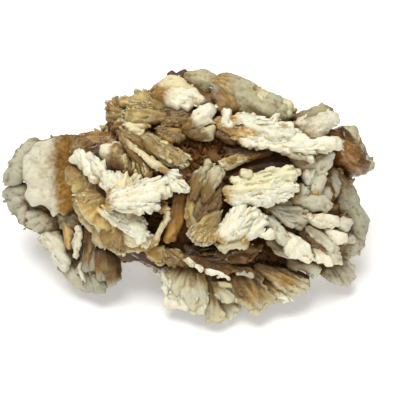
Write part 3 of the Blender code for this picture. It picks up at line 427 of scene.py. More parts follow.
# Sizes of the growth on slabs and blades
RIB_LONG, RIB_WIDE, LUMP = 4.5, 1.1, 1.5
LOBE_LONG, LOBE_WIDE = 4.6, 2.2  # the broad lumps along and across the growth
LEDGE = 0.45  # height of the ledges on a crystal's faces
PLATE_NOTCHES, SLAB_NOTCHES = (2.0, 0.9), (2.6, 1.1)  # coarse and fine notches in the rims
PLATE_WAVE, SLAB_WAVE = np.array((6.0, 3.0, np.inf)), 6  # how long and wide they undulate
PITS = 0.9  # size of the smallest lumps and pits on slabs
SHINGLE_LENGTHS, SHINGLE_THICK = (1.6, 4.2), (0.35, 0.75)  # of the shingles on slabs, from and to
GRAIN_SIZES = ((0.8, 0.5, 0.4), (2.0, 1.0, 0.7))  # the least and the greatest, along, across and high
CRUMB_SIZES = ((0.6, 0.4, 0.35), (1.7, 0.9, 0.7))
BOX_SHARE = 0.62  # of the box round a slab that its outline fills
CRUMBS = 1.6  # crumbs tried for each square mm of a slab's face, for a tone with one grain per mm of rim
LAMELLA = 1.3  # distance between the lamellae of a ribbed slab
SMOOTHEST = 0.55  # slabs less ribbed than this are one smooth lobe
CRUMBLY = 0.86  # slabs less ribbed than this, and not smooth, have long ribs, and the others crumbs
DRAWN_OUT = 2.2  # how much longer the long ribs are
DOMED = 0.7  # how far a slab's middle stands out over its rim
BORDER_STEP, GRID_STEP = 0.5, 0.46  # distance between the points of a slab's border, and inside it
COARSE = 1.5  # the blades' layers and crystals are this much coarser than the slabs'
PLATE_STEP = 1.2  # distance between the points of a blade's plates
CLOSER = 1.25  # how much closer they are toward its rim
SHINGLE_LONG = 12.0  # the longest shingles on a blade
CRUST_DEPTHS = (10, 6)  # how far below a blade's top its crust ends, and where it starts to fade
ROUGH_SHINGLE, ROUGHER_SHINGLE, ROUGH_GRAIN = 0.10, 0.12, 0.14  # unevenness, as a share of the size
SQUARENESS = 2.6  # power of the superellipse that a blade's outline follows

# Maps of the cluster: as the viewer sees it, and as seen from the heart's middle in rows and sides
COVER_STEP, COVER_HALF = 0.8, 120  # size of a cell, and cells from the map's middle to its edge
COVER_CLOSED, COVER_INSET = 4, 4  # cells by which gaps between slabs close and what is below is kept inside
UNDER_GAP = 1.2  # how far what lies under the slabs is kept below them
FIT_POINTS, FIT_STEP, FIT_LEAST = 16, 0.08, 0.35  # points of a blade's rim, and its shares of its size
NOTHING = -999.0  # height of the cells that nothing covers
GLOBE_ROWS, GLOBE_SIDES = 150, 300
CANOPY_SPREAD, CANOPY_BLUR, CROWD_BLUR = 2, 6, 4  # passes over those maps, each one cell wide
CROWDED = (0.4, 3.4)  # how far below its surroundings a place starts to darken with painted shade and is darkest

# A lattice hash for a smooth noise
HASH, HASH_SALT, HASH_MIX = (374761393, 668265263, 1440662683), 974634777, 1274126177
LOW_32, LOW_24 = 0xFFFFFFFF, 0xFFFFFF


def joined(*parts):
    """Columns side by side, where a single number fills its whole column."""
    return np.stack(np.broadcast_arrays(*parts), axis=1)


def unit(ways):
    """The same directions, one long."""
    return ways / np.linalg.norm(ways, axis=1, keepdims=True).clip(1e-6)


def pointing(heading, tilt):
    """Directions from their headings in a plane and their tilts out of it."""
    return joined(np.cos(heading) * np.cos(tilt), np.sin(heading) * np.cos(tilt), np.sin(tilt))


def sphere(rows, sides, start):
    """Directions over a whole sphere, row by row, with the first of a row that share of a step around."""
    polar = np.pi * (np.arange(rows) + 0.5) / rows
    angle = (np.arange(sides) + start) / sides * math.tau
    polar, angle = (part.ravel() for part in np.meshgrid(polar, angle, indexing="ij"))
    return joined(np.sin(polar) * np.cos(angle), np.sin(polar) * np.sin(angle), np.cos(polar))


def lattice(cell, salt):
    """A fixed number from 0 to 1 for each lattice point."""
    mixed = (cell @ np.array(HASH) + salt * HASH_SALT) & LOW_32
    mixed = ((mixed ^ (mixed >> 13)) * HASH_MIX) & LOW_32
    return ((mixed ^ (mixed >> 16)) & LOW_24) / LOW_24


def noise(points, salt=0):
    """Smooth noise from -1 to 1."""
    cell = np.floor(points).astype(np.int64)
    part = points - cell
    part = part * part * (3 - 2 * part)
    total = np.zeros(len(points))
    for corner in np.ndindex(2, 2, 2):
        weight = np.where(corner, part, 1 - part).prod(axis=1)
        total += weight * lattice(cell + corner, salt)
    return total * 2 - 1


def knobs(points, salt=0):
    """Rounded knobs with narrow creases between them, from about -0.5 to 1.5."""
    return 2.4 * np.abs(noise(points, salt)) - 0.5


def smooth(low, high, value):
    """0 below low, 1 above high and smooth between; the other way round if low is above high."""
    part = np.clip((value - low) / (high - low), 0, 1)
    return part * part * (3 - 2 * part)


def stepped(height):
    """A relief with its slopes gathered into ledges."""
    level = height / LEDGE
    down = np.floor(level)
    return LEDGE * (0.35 * level + 0.65 * (down + smooth(0.3, 0.7, level - down)))


def superellipse(angle, power=SQUARENESS):
    """Radius of a rounded outline that is 2 long and 2 wide."""
    return (np.abs(np.cos(angle)) ** power + np.abs(np.sin(angle)) ** power) ** (-1 / power)


def skin_faces(rows, sides):
    """Triangles of a closed skin of rows of points, with one more point at each end."""
    row, side = np.meshgrid(np.arange(rows - 1), np.arange(sides), indexing="ij")
    a = (row * sides + side).ravel()
    b = (row * sides + (side + 1) % sides).ravel()
    c, d = a + sides, b + sides
    around = np.arange(sides)
    after = (around + 1) % sides
    end = (rows - 1) * sides
    start, finish = joined(rows * sides, after, around), joined(rows * sides + 1, end + around, end + after)
    return np.concatenate([joined(a, b, d), joined(a, d, c), start, finish])


def crystal_shape(rows, sides, blunt, square):
    """A crystal 2 long, 2 wide and 2 thick: its points and its faces."""
    along = -np.cos(np.pi * (np.arange(rows) + 0.5) / rows)
    angle = (np.arange(sides) + 0.5) / sides * math.tau
    ring = joined(np.cos(angle), np.sin(angle)) * superellipse(angle, square)[:, None]
    cross = ((1 - np.abs(along) ** blunt) ** 0.5)[:, None, None] * ring
    shape = joined(np.repeat(along, sides), *cross.reshape(-1, 2).T)
    return np.concatenate([shape, [(-1, 0, 0), (1, 0, 0)]]), skin_faces(rows, sides)[:, ::-1]


SHINGLE, GRAIN = crystal_shape(6, 6, 5, 1.7), crystal_shape(4, 5, 3, 3)


def nearer(points):
    """What shrinks each point's place across and up, so that it looks as laid out from so near."""
    smaller = 1 - points[:, 2] / VIEWED_FROM
    return joined(smaller, smaller, 1.0)


def laid_out(points):
    """Points of the layout as points of the part."""
    return points * nearer(points) @ np.array(AXES) + CENTRE


def in_layout(points):
    """Points of the part as points of the layout."""
    flat = (points - CENTRE) @ np.array(AXES).T
    return flat / nearer(flat)


def placed(across, up, toward):
    """A point of the layout as a point of the part in metres."""
    point = (AXES[0] * across + AXES[1] * up) * (1 - toward / VIEWED_FROM) + AXES[2] * toward
    return (point + Vector(CENTRE)) * MM


def dome_height(across, up):
    """How far the mound stands toward the viewer there."""
    inside = 1 - (across / DOME_ACROSS) ** 2 - (up / DOME_UP) ** 2
    return DOME_RISE * math.sqrt(max(inside, 0)) - DOME_BACK


def heart_reach(rays, count=HEART_STEPS):
    """How far the farthest lump reaches along each ray from the heart's middle, in that many steps."""
    steps = np.arange(1, count + 1) * HEART_REACH / count
    points = np.array(HEART_MIDDLE) + rays[:, None] * steps[:, None]
    inside = (((points @ np.array(AXES) - FOOT_CENTRE) / FOOT_SIZES) ** 2).sum(axis=2) < 1
    for centre, half_sizes in HEART_LUMPS:
        offset = (points - centre) / half_sizes
        offset[..., 2] /= np.where(offset[..., 2] < 0, HEART_BACK, 1)
        inside |= (offset**2).sum(axis=2) < 1
    return (inside * steps).max(axis=1)


def from_heart(points):
    """Points of the part as directions and distances from the heart's middle."""
    flat = in_layout(points) - HEART_MIDDLE
    far = np.linalg.norm(flat, axis=1)
    return flat / far[:, None], far


def back_rays():
    """Directions from the heart's middle to the fans of the hidden back."""
    for height_deg, first_deg, last_deg, count in BACK_ROWS:
        height = math.radians(height_deg)
        for k in range(count):
            bearing = math.radians(first_deg + (last_deg - first_deg) * k / (count - 1))
            level = math.cos(height)
            yield Vector((level * math.sin(bearing), level * math.cos(bearing), math.sin(height)))


def back_blades():
    """Fans of blades that stand on the heart's hidden back."""
    pick = np.random.default_rng(BACK_SEED)
    for fan, outward in enumerate(back_rays()):
        ray = [outward.dot(axis) for axis in AXES]
        radius = heart_reach(np.array([ray]))[0] - FAN_SUNK
        centre = placed(*(m + r * radius for m, r in zip(HEART_MIDDLE, ray)))
        hinge = outward.cross(Vector(pick.normal(size=3))).normalized()
        for leaf in range(FAN_BLADES):
            step = leaf - (FAN_BLADES - 1) / 2
            grown = Matrix.Rotation(FAN_OPEN * step, 3, hinge) @ outward
            normal = grown.cross(hinge)
            turned = Matrix((grown, normal.cross(grown), normal)).transposed()
            shift = outward.cross(hinge) * (-FAN_PITCH * step * MM)
            sizes = [pick.uniform(*each) for each in (BACK_LENGTH, BACK_BREADTH, BACK_THICK)]
            tone = BACK_TONES[(fan * FAN_BLADES + leaf) % len(BACK_TONES)]
            yield Matrix.Translation(centre + shift) @ turned.to_4x4(), *sizes, tone


def coloured(tone, count, share, tip, pick):
    """Colours of some points of one tone: crust and share of it, what it covers, and nearness to the tip."""
    looks = np.empty((count, 8))
    looks[:, 0:3] = np.array(tone.shell) * (1 + pick.normal() * 0.05)
    looks[:, 3] = share
    looks[:, 4:7] = np.array(tone.under) * math.exp(pick.normal() * 0.18)
    looks[:, 7] = tip
    return looks


def line_of_rim(tone, inside):
    """How much of the crust that lines the rim is at places so far inside the rim."""
    return smooth(tone.rim, tone.rim * 0.4 - 0.1, inside) if tone.rim else np.zeros(len(inside))


class Piece:
    """One piece of the cluster, gathered from small closed crystals."""

    GATHERED = ("points", "faces", "grown", "looks", "clear", "crease", "soft")

    def __init__(self, name):
        self.name, self.count = name, 0
        for key in self.GATHERED:
            setattr(self, key, [])

    def add(self, points, faces, grown, looks, clear, crease=None):
        """Points, their places in the growth of the crystal, and how they are coloured."""
        soft = np.full(len(faces), crease is not None or not clear)
        crease = np.zeros(len(points)) if crease is None else crease
        clear = np.full(len(faces), int(clear))
        new = (points, faces + self.count, grown, looks, clear, crease, soft)
        for key, values in zip(self.GATHERED, new):
            getattr(self, key).append(values)
        self.count += len(points)

    def gather(self):
        for key in self.GATHERED:
            setattr(self, key, np.concatenate(getattr(self, key)))


class Host:
    """A blade that small crystals are set on: its frame, sizes and tone."""

    def __init__(self, matrix, length, breadth, thick, tone, outward):
        self.turn = np.array(matrix.to_3x3())
        self.centre = np.array(matrix.translation) / MM
        self.length, self.breadth, self.thick = length, breadth, thick
        self.tone = TONES[tone]
        self.outward = self.turn.T @ np.array(outward)
        self.top = abs(self.outward[0]) * length / 2 + abs(self.outward[1]) * breadth / 2
        self.curl = 0.0

    def crust(self, here):
        """How much of the crust covers the blade at a place of its own frame."""
        edge = (np.abs(here[:, :2] / (self.length / 2, self.breadth / 2)) ** SQUARENESS).sum(axis=1)
        far = (1 - edge ** (1 / SQUARENESS)) * min(self.length, self.breadth) / 2
        along = here[:, 0] / (self.length / 2)
        depth = self.top - here @ self.outward
        body = smooth(self.tone.start, self.tone.start + self.tone.span, along)
        rimmed = line_of_rim(self.tone, far) * smooth(-0.6, 0.2, along)
        return np.maximum(body, rimmed) * smooth(*CRUST_DEPTHS, depth)

    def place(self, here):
        """Points of the blade's own frame as points of the part."""
        return here @ self.turn.T + self.centre


def square_grid(columns, rows):
    """A flat grid from -1 to 1 both ways, closer toward its rim: its points, and the faces of two such grids
    back to back, which share their rim."""
    s, t = (np.sin(np.linspace(-1, 1, count + 1) * CLOSER) / math.sin(CLOSER) for count in (columns, rows))
    s, t = (part.ravel() for part in np.meshgrid(s, t, indexing="ij"))
    front = np.arange((columns + 1) * (rows + 1)).reshape(columns + 1, rows + 1)
    back = front.copy()
    back[1:-1, 1:-1] = front.size + np.arange((columns - 1) * (rows - 1)).reshape(columns - 1, rows - 1)
    faces = []
    for grid, way in ((front, 1), (back, -1)):
        a, b, c, d = (part.ravel() for part in (grid[:-1, :-1], grid[1:, :-1], grid[1:, 1:], grid[:-1, 1:]))
        faces += [joined(a, b, c)[:, ::way], joined(a, c, d)[:, ::way]]
    return s, t, front[1:-1, 1:-1].ravel(), np.concatenate(faces)


def add_plate(piece, host, shrink, thick, here_at, pick):
    """One lamella of a blade: a thin plate with a toothed rim and ribs that spread from its root."""
    tone, length, breadth = host.tone, host.length * shrink, host.breadth * shrink
    columns = int(np.clip(round(length / PLATE_STEP), 6, 40))
    rows = int(np.clip(round(breadth / PLATE_STEP), 6, 36))
    s, t, inner, faces = square_grid(columns, rows)
    edge = np.maximum(np.abs(s), np.abs(t))
    angle = np.arctan2(t, s)
    radius = superellipse(angle) * np.maximum(np.abs(np.cos(angle)), np.abs(np.sin(angle)))
    flat = joined(s * radius * length / 2, t * radius * breadth / 2, 0.0)
    rim = joined(np.cos(angle) * length / 2, np.sin(angle) * breadth / 2, 0.0) * superellipse(angle)[:, None]
    salt = int(pick.integers(1, 9999))
    tipward = 0.4 + 0.6 * smooth(-0.8, 0.5, np.cos(angle))
    coarse, fine = PLATE_NOTCHES
    jag = noise(rim / coarse, salt) + 0.8 * noise(rim / fine, salt + 1)
    flat += unit(rim) * (tone.tooth * tipward * jag * edge**5)[:, None]
    root = length * 0.75
    spread = np.arctan2(flat[:, 1], flat[:, 0] + root) * root * 1.4
    ribbed = joined(flat[:, 0] / RIB_LONG, spread / RIB_WIDE, salt)
    wave = 0.4 * noise(flat / PLATE_WAVE + (0, 0, salt), salt + 2)
    wave = wave + host.curl * (flat[:, 0] / length) ** 2
    full = (1 - edge**7).clip(0) ** 0.5
    tops = []
    for side in (0, 1):
        ribs = noise(ribbed + side * 5.5, salt + 3) + 0.5 * noise(ribbed * 2.1 + side * 5.5, salt + 4)
        lumps = noise(flat / LUMP + side * 3.3, salt + 5)
        relief = (tone.ridge * ribs + tone.lumpy * lumps) * (0.25 + 0.75 * full)
        tops.append(thick / 2 * full + relief * np.minimum(full * 2, 1))
    front, back = (joined(*flat.T[:2], high) for high in (wave + tops[0], wave - tops[1]))
    points = np.concatenate([front, back[inner]])
    skew = Matrix.Identity(3)
    for spread_deg, axis in ((4, "Z"), (4, "X"), (3, "Y")):
        skew = skew @ Matrix.Rotation(math.radians(pick.normal() * spread_deg), 3, axis)
    here = points @ np.array(skew).T + here_at
    edge = np.concatenate([edge, edge[inner]])
    tip = 0.5 + 0.5 * smooth(0.3, 1.0, edge) * smooth(-0.6, 0.2, points[:, 0] / length)
    share = host.crust(here) + pick.normal() * 0.06
    looks = coloured(tone, len(points), share, tip, pick)
    piece.add(host.place(here), faces, points + salt % 97, looks, tone.clear)


def add_crystals(piece, host, pick, shape, laid, rough, white=None):
    """Many crystals on one host, laid by their centres, long axes, rough upward axes and three sizes. Where
    white is given they are opaque, with that share of crust."""
    body, faces = shape
    centres, along, up, sizes = laid
    count, each = len(centres), len(body)
    if not count:
        return
    along = unit(along)
    side = unit(np.cross(up, along))
    up = np.cross(along, side)
    body = body * sizes[:, None] / 2
    station = body[..., :1] / sizes[:, None, :1] * 2
    body[..., 1:] *= 1 + pick.uniform(-0.45, 0.35, (count, 1, 2)) * station
    body[..., 1:] *= 1 + pick.uniform(-rough, rough, (count, each, 1)) * 1.4
    body += pick.normal(size=body.shape) * (rough * 0.35 * sizes[:, None]) * (0.25, 1, 1)
    here = centres[:, None] + body[..., :1] * along[:, None]
    here = here + body[..., 1:2] * side[:, None] + body[..., 2:] * up[:, None]
    here = here.reshape(-1, 3)
    here[:, 2] += host.curl * (here[:, 0] / host.length) ** 2
    station = station[..., 0].ravel()
    share = (host.crust(here) if white is None else white) * (0.92 + 0.08 * station)
    looks = coloured(host.tone, len(here), share, 0.5 + 0.5 * station, pick)
    looks[:, 3] += np.repeat(pick.normal(size=count) * 0.10, each)
    looks[:, :3] *= np.repeat(np.exp(pick.normal(size=count) * 0.05), each)[:, None]
    looks[:, 4:7] *= np.repeat(np.exp(pick.normal(size=count) * 0.22), each)[:, None]
    grown = body + pick.uniform(-90, 90, (count, 1, 3))
    all_faces = (faces[None] + (np.arange(count) * each)[:, None, None]).reshape(-1, 3)
    clear = host.tone.clear if white is None else 0
    piece.add(host.place(here), all_faces, grown.reshape(-1, 3), looks, clear)


def lay_shingles(host, pick, height, layer, shrink, shift):
    """Long flat crystals that overlap like shingles on both faces of a plate."""
    tone = host.tone
    length, breadth = host.length * shrink, host.breadth * shrink
    across = max(3, round(breadth / (tone.pitch * COARSE)))
    pitch = breadth / across
    rows = []
    for face in (-1, 1):
        outer = face * height > host.thick / 2 - layer
        for k in range(across):
            y = (k + 0.5 + pick.normal() * 0.2) * pitch - breadth / 2
            half = length / 2 * max(1 - abs(2 * y / breadth) ** SQUARENESS, 0.1) ** (1 / SQUARENESS)
            reach = half * (1 + pick.normal() * 0.05) + tone.tooth * pick.uniform(-0.5, 0.8)
            span = half + reach if outer else reach * 0.9
            parts = math.ceil(span / SHINGLE_LONG)
            step = span / parts
            for part in range(parts):
                size = step * (1.25 if parts > 1 else 1.04) * pick.uniform(0.9, 1.1)
                rows.append((reach - (part + 0.5) * step + shift, y, height + face * layer * 0.27, size))
    x, y, high, size = np.array(rows).T
    count = len(rows)
    bearing = np.arctan2(y, x + host.length * 0.62) * 0.8 + np.radians(pick.normal(size=count) * 4)
    lift = np.radians(pick.normal(size=count) * 2.0) + high / host.thick * math.radians(7)
    roll = np.radians(pick.normal(size=count) * 14)
    wide = pitch * pick.uniform(1.4, 2.2, count)
    thick = layer * pick.uniform(0.45, 0.75, count)
    along = joined(np.cos(bearing), np.sin(bearing), np.sin(lift))
    return joined(x, y, high), along, joined(0.0, np.sin(roll), np.cos(roll)), joined(size, wide, thick)


def lay_grains(host, pick):
    """Small crystals that stand out of a blade's faces and past its rim."""
    count = max(int(0.12 * host.length * host.breadth / COARSE**2), 5)
    angle = pick.vonmises(0, 0.6, count)
    share = pick.uniform(0, 1, count) ** 0.5
    x = superellipse(angle) * share * np.cos(angle) * host.length / 2
    y = superellipse(angle) * share * np.sin(angle) * host.breadth / 2
    face = np.where(pick.uniform(size=count) < 0.65, 1, -1)
    height = face * host.thick / 2 * (1 - share**6).clip(0) ** 0.5 * 0.9
    heading = np.arctan2(y, x + 0.6 * host.length) + pick.normal(size=count) * 0.4
    along = pointing(heading, face * np.radians(pick.uniform(5, 35, count)))
    up = joined(pick.normal(size=count) * 0.4, pick.normal(size=count) * 0.4, face)
    return joined(x, y, height), along, up, pick.uniform(*GRAIN_SIZES, (count, 3)) * COARSE


def dress(piece, host, pick, hidden):
    """Builds one blade of plates, shingles and grains, leaving out what lies deep in the heart."""
    host.curl = pick.normal() * 0.6
    layers = max(2, round(host.thick / (host.tone.layer * COARSE)))
    layer = host.thick / layers

    def set_on(shape, laid, rough):
        keep = ~hidden(host.place(laid[0]))
        add_crystals(piece, host, pick, shape, [part[keep] for part in laid], rough)

    for level in range(layers):
        height = (level + 0.5) * layer - host.thick / 2
        shrink = 1 - 0.12 * pick.uniform()
        shift = pick.uniform(-0.06, 0.03) * host.length
        add_plate(piece, host, shrink, layer * 0.6, (shift, 0, height), pick)
        set_on(SHINGLE, lay_shingles(host, pick, height, layer, shrink, shift), ROUGH_SHINGLE)
    set_on(GRAIN, lay_grains(host, pick), ROUGH_GRAIN)


def rounded(outline, step):
    """An outline as a smooth closed curve that runs counterclockwise, with points about a step apart."""
    corners = np.array(outline).reshape(-1, 2) * STEP
    after = np.roll(corners, -1, axis=0)
    if (corners[:, 0] * after[:, 1] - corners[:, 1] * after[:, 0]).sum() < 0:
        corners = corners[::-1]
    parts = []
    for p0, p1, p2, p3 in zip(*(np.roll(corners, k, axis=0) for k in (1, 0, -1, -2))):
        count = max(round(np.linalg.norm(p2 - p1) / step), 1)
        t = (np.arange(count) / count)[:, None]
        bend = (2 * p0 - 5 * p1 + 4 * p2 - p3) * t**2 + (3 * p1 - p0 - 3 * p2 + p3) * t**3
        parts.append(p1 + 0.5 * ((p2 - p0) * t + bend))
    return np.concatenate(parts)


def within(points, border):
    """How far each point lies inside a border, less than 0 outside it."""
    start, end = border, np.roll(border, -1, axis=0)
    way = end - start
    offset = points[:, None] - start
    share = ((offset * way).sum(axis=2) / (way**2).sum(axis=1).clip(1e-9)).clip(0, 1)
    far = np.linalg.norm(offset - share[..., None] * way, axis=2).min(axis=1)
    above = points[:, None, 1]
    rise = np.where(way[:, 1] == 0, 1e-9, way[:, 1])
    where = start[:, 0] + (above - start[:, 1]) * way[:, 0] / rise
    crossed = ((start[:, 1] > above) != (end[:, 1] > above)) & (points[:, None, 0] < where)
    return np.where(crossed.sum(axis=1) % 2 == 1, far, -far)


def outward(border):
    """Directions straight out of a border at its points."""
    return unit((np.roll(border, -1, axis=0) - np.roll(border, 1, axis=0))[:, ::-1] * (1, -1))


class Bed:
    """A slab's own frame: its plane through the middle of its outline, its growth and its border."""

    curl = 0.0

    def __init__(self, slab):
        self.tone, self.rib, self.thick = TONES[slab.tone], slab.rib, slab.thick
        border = rounded(slab.outline, BORDER_STEP)
        self.middle = (border.min(axis=0) + border.max(axis=0)) / 2
        self.border = border - self.middle
        self.area = np.ptp(self.border, axis=0).prod() * BOX_SHARE
        turn = math.radians(slab.turn)
        self.growth = np.array((math.cos(turn), math.sin(turn)))
        along = self.border @ self.growth
        self.low, self.length = along.min(), np.ptp(along)
        self.root = self.growth * (self.low - self.length * 0.35)
        facing = math.sqrt(1 - slab.lean_right**2 - slab.lean_up**2)
        self.slope = np.array((slab.lean_right, slab.lean_up)) / facing
        self.normal = np.array((slab.lean_right, slab.lean_up, facing))
        self.height = dome_height(*self.middle) + slab.lift
        self.drawn_out = SMOOTHEST < slab.rib < CRUMBLY
        self.long = RIB_LONG * (DRAWN_OUT if self.drawn_out else 1)

    def along(self, flat):
        """Place along the growth, from -1 to 1."""
        return (flat @ self.growth - self.low) / self.length * 2 - 1

    def fan(self, flat):
        """Distance from the root and distance across the fan."""
        way = flat - self.root
        side = np.array((-self.growth[1], self.growth[0]))
        return np.linalg.norm(way, axis=1), np.arctan2(way @ side, way @ self.growth) * self.length

    def crust(self, here, inside=None):
        """How much of the crust covers the slab at a place of its own frame."""
        if inside is None:
            inside = within(here[:, :2], self.border)
        along = self.along(here[:, :2])
        body = smooth(self.tone.start, self.tone.start + self.tone.span, along)
        return np.maximum(body, line_of_rim(self.tone, inside) * smooth(-0.5, 0.1, along))

    def place(self, here):
        """Points of the slab's own frame as points of the part."""
        flat = here[:, :2] + self.middle
        deep = self.height - here[:, :2] @ self.slope
        return laid_out(joined(*flat.T, deep) + here[:, 2:] * self.normal)

    def scattered(self, pick, count, least):
        """Random places on the slab's face, at least so far inside its rim, and how far inside they are."""
        flat = pick.uniform(self.border.min(axis=0), self.border.max(axis=0), (count, 2))
        inside = within(flat, self.border)
        return flat[inside > least], inside[inside > least]


def add_lamella(piece, bed, border, level, thick, pick):
    """One lamella of a slab: a plate inside the border, ribbed away from its root."""
    tone, salt = bed.tone, int(pick.integers(1, 9999))

    def over(flat, size):
        return joined(*flat.T / size, salt)

    def ribs(flat, side):
        far, across = bed.fan(flat)
        spread = joined(far / bed.long, across / RIB_WIDE, salt + side * 5.5)
        return knobs(spread, salt) + 0.4 * knobs(spread * (2.1, 2.1, 1), salt + 1)

    out = outward(border)
    tipward = 0.35 + 0.65 * smooth(-0.6, 0.6, out @ bed.growth)
    coarse, fine = SLAB_NOTCHES
    jag = ribs(border, 0) * min(bed.rib, 1) + 0.7 * noise(over(border, fine), salt + 2)
    jag = jag + 0.8 * noise(over(border, coarse), salt + 7)
    border = border + out * (tone.tooth * (1.3 if bed.drawn_out else 0.8) * tipward * jag)[:, None]
    low, high = border.min(axis=0), border.max(axis=0)
    rows = np.arange(low[1], high[1], GRID_STEP * 0.87)
    x, y = np.meshgrid(np.arange(low[0], high[0], GRID_STEP), rows)
    x = x + (np.arange(len(rows)) % 2)[:, None] * GRID_STEP / 2
    grid = joined(x.ravel(), y.ravel())
    grid += pick.uniform(-0.25, 0.25, grid.shape) * GRID_STEP
    grid = grid[within(grid, border) > GRID_STEP * 0.5]
    edges = [(k, (k + 1) % len(border)) for k in range(len(border))]
    points = [Vector(point) for point in np.concatenate([border, grid])]
    found = delaunay_2d_cdt(points, edges, [], 1, 1e-4)
    flat, faces = np.array([tuple(point) for point in found[0]]), np.array(found[2])
    sides = np.concatenate([faces[:, (0, 1)], faces[:, (1, 2)], faces[:, (2, 0)]])
    sides, times = np.unique(np.sort(sides, axis=1), axis=0, return_counts=True)
    rim = np.zeros(len(flat), bool)
    rim[sides[times == 1]] = True
    inside = np.where(rim, 0, within(flat, border).clip(0))
    bevel = thick * (0.5 if bed.rib > SMOOTHEST else 0.62)
    full = (1 - (1 - (inside / bevel).clip(0, 1)) ** 2) ** 0.5
    wave = 0.7 * noise(over(flat, SLAB_WAVE), salt + 3) + DOMED * smooth(0, 4, inside)
    strong = 0.5 + 0.5 * smooth(-1.0, 0.2, bed.along(flat))
    far, across = bed.fan(flat)
    tops, creases = [], []
    for side in (0, 1):
        broad = noise(joined(far / LOBE_LONG, across / LOBE_WIDE, salt + side * 3.3), salt + 6)
        broad = stepped(2.0 * tone.lumpy * broad * (1.2 - min(bed.rib, 1)))
        lumps = 0.6 * knobs(joined(far * LUMP / bed.long, across / LUMP, salt + side * 3.3), salt + 4)
        lumps = tone.lumpy * (lumps + 0.35 * knobs(over(flat, PITS), salt + 5))
        ridges = tone.ridge * 2.0 * bed.rib * ribs(flat, side) * strong
        tops.append(thick / 2 * full + (ridges + broad + lumps * (0.6 if bed.drawn_out else 1)) * full)
        # The relief's valleys count as creases, which get painted shade
        creases.append(smooth(0.1, -0.25, ridges + lumps) * full)
    front, back = (joined(*flat.T, high) for high in (level + wave + tops[0], level + wave - tops[1]))
    inner = np.flatnonzero(~rim)
    lower = np.arange(len(flat))
    lower[inner] = len(flat) + np.arange(len(inner))
    here = np.concatenate([front, back[inner]])
    faces = np.concatenate([faces, lower[faces][:, ::-1]])
    share = bed.crust(here, np.concatenate([inside, inside[inner]])) + pick.normal() * 0.05
    tip = 0.5 + 0.5 * smooth(-1, 0.6, bed.along(here[:, :2]))
    looks = coloured(tone, len(here), share, tip, pick)
    grown = joined(*bed.fan(here[:, :2]), here[:, 2]) + salt % 97
    crease = np.concatenate([creases[0], creases[1][inner]])
    piece.add(bed.place(here), faces, grown, looks, tone.clear, crease)


def lay_on_slab(bed, pick, top):
    """Shingles that rise a little out of a slab's face along its ribs."""
    tone = bed.tone
    count = int(bed.area / tone.pitch**2 * bed.rib * (0.6 if bed.drawn_out else 1.5))
    count = int(count * (min(tone.grains, 0.5) if tone.clear else 1))
    flat, inside = (found[:count] for found in bed.scattered(pick, count * 2, 0.35))
    count = len(flat)
    way = unit(flat - bed.root)
    size = pick.uniform(*SHINGLE_LENGTHS, count) * (1.8 if bed.drawn_out else 1)
    for _ in range(4):
        over = within(flat + way * (size * 0.5)[:, None], bed.border) < -0.4
        size = np.where(over, size * 0.7, size)
    lift = np.radians(pick.uniform(1, 13, count))
    heading = np.arctan2(way[:, 1], way[:, 0]) + np.radians(pick.normal(size=count) * 7)
    up = joined(*pick.normal(size=(count, 2)).T * 0.28, 1.0)
    high = top + DOMED * 0.6 - 0.25 + pick.normal(size=count) * 0.12
    high -= bed.thick * 0.22 * smooth(1.2, 0, inside)
    wide = tone.pitch * pick.uniform(0.5, 1.05, count)
    sizes = joined(size, wide, pick.uniform(*SHINGLE_THICK, count))
    return joined(*flat.T, high), pointing(heading, lift), up, sizes


def lay_crumbs(bed, pick, top):
    """Small crystals scattered over a slab's face."""
    flat, inside = bed.scattered(pick, int(bed.area * CRUMBS * bed.tone.grains), 0.2)
    count = len(flat)
    way = flat - bed.root
    heading = np.arctan2(way[:, 1], way[:, 0]) + pick.normal(size=count) * 0.5
    along = pointing(heading, np.radians(pick.uniform(0, 40, count)))
    up = joined(*pick.normal(size=(count, 2)).T * 0.4, 1.0)
    high = top + DOMED * 0.8 * smooth(0, 4, inside) - bed.thick * 0.2 * smooth(1.2, 0, inside)
    return joined(*flat.T, high), along, up, pick.uniform(*CRUMB_SIZES, (count, 3))


def lay_on_rim(bed, pick):
    """Small crystals that stand out past a slab's rim."""
    border, out = bed.border, outward(bed.border)
    count = int(len(border) * BORDER_STEP * bed.tone.grains * (0.5 + bed.rib))
    spot = pick.choice(len(border), count)
    spot = spot[pick.uniform(size=count) < 0.15 + smooth(-0.5, 0.5, out[spot] @ bed.growth)]
    count = len(spot)
    way = unit(border[spot] - bed.root) + out[spot] * 0.7
    way = way + pick.normal(size=way.shape) * 0.3
    along = joined(*way.T, pick.normal(size=count) * 0.3)
    centres = joined(*(border[spot] - out[spot] * 0.5).T, pick.uniform(-0.4, 0.4, count) * bed.thick)
    up = joined(*pick.normal(size=(count, 2)).T * 0.5, 1.0)
    return centres, along, up, pick.uniform(*GRAIN_SIZES, (count, 3))


def build_slab(piece, slab, pick):
    """A slab: a few lamellae of its outline, each with its own rim, and the crystals on them."""
    bed = Bed(slab)
    layers = max(2, round(slab.thick / LAMELLA)) if slab.rib > SMOOTHEST else 1
    layer = slab.thick / layers
    for level in range(layers):
        share = level / max(layers - 1, 1)
        scale = 1 - 0.10 * share * pick.uniform(0.3, 1)
        shift = bed.growth * bed.length * (-0.05 * share * pick.uniform(0, 1))
        height = (level + 0.5) * layer - slab.thick / 2
        add_lamella(piece, bed, bed.border * scale + shift, height, layer * 0.86, pick)
    top = height + layer * 0.43
    if slab.rib > SMOOTHEST:
        add_crystals(piece, bed, pick, SHINGLE, lay_on_slab(bed, pick, top), ROUGHER_SHINGLE)
        if bed.tone.clear:
            add_crystals(piece, bed, pick, GRAIN, lay_crumbs(bed, pick, top), ROUGH_GRAIN)
    add_crystals(piece, bed, pick, GRAIN, lay_on_rim(bed, pick), ROUGH_GRAIN)


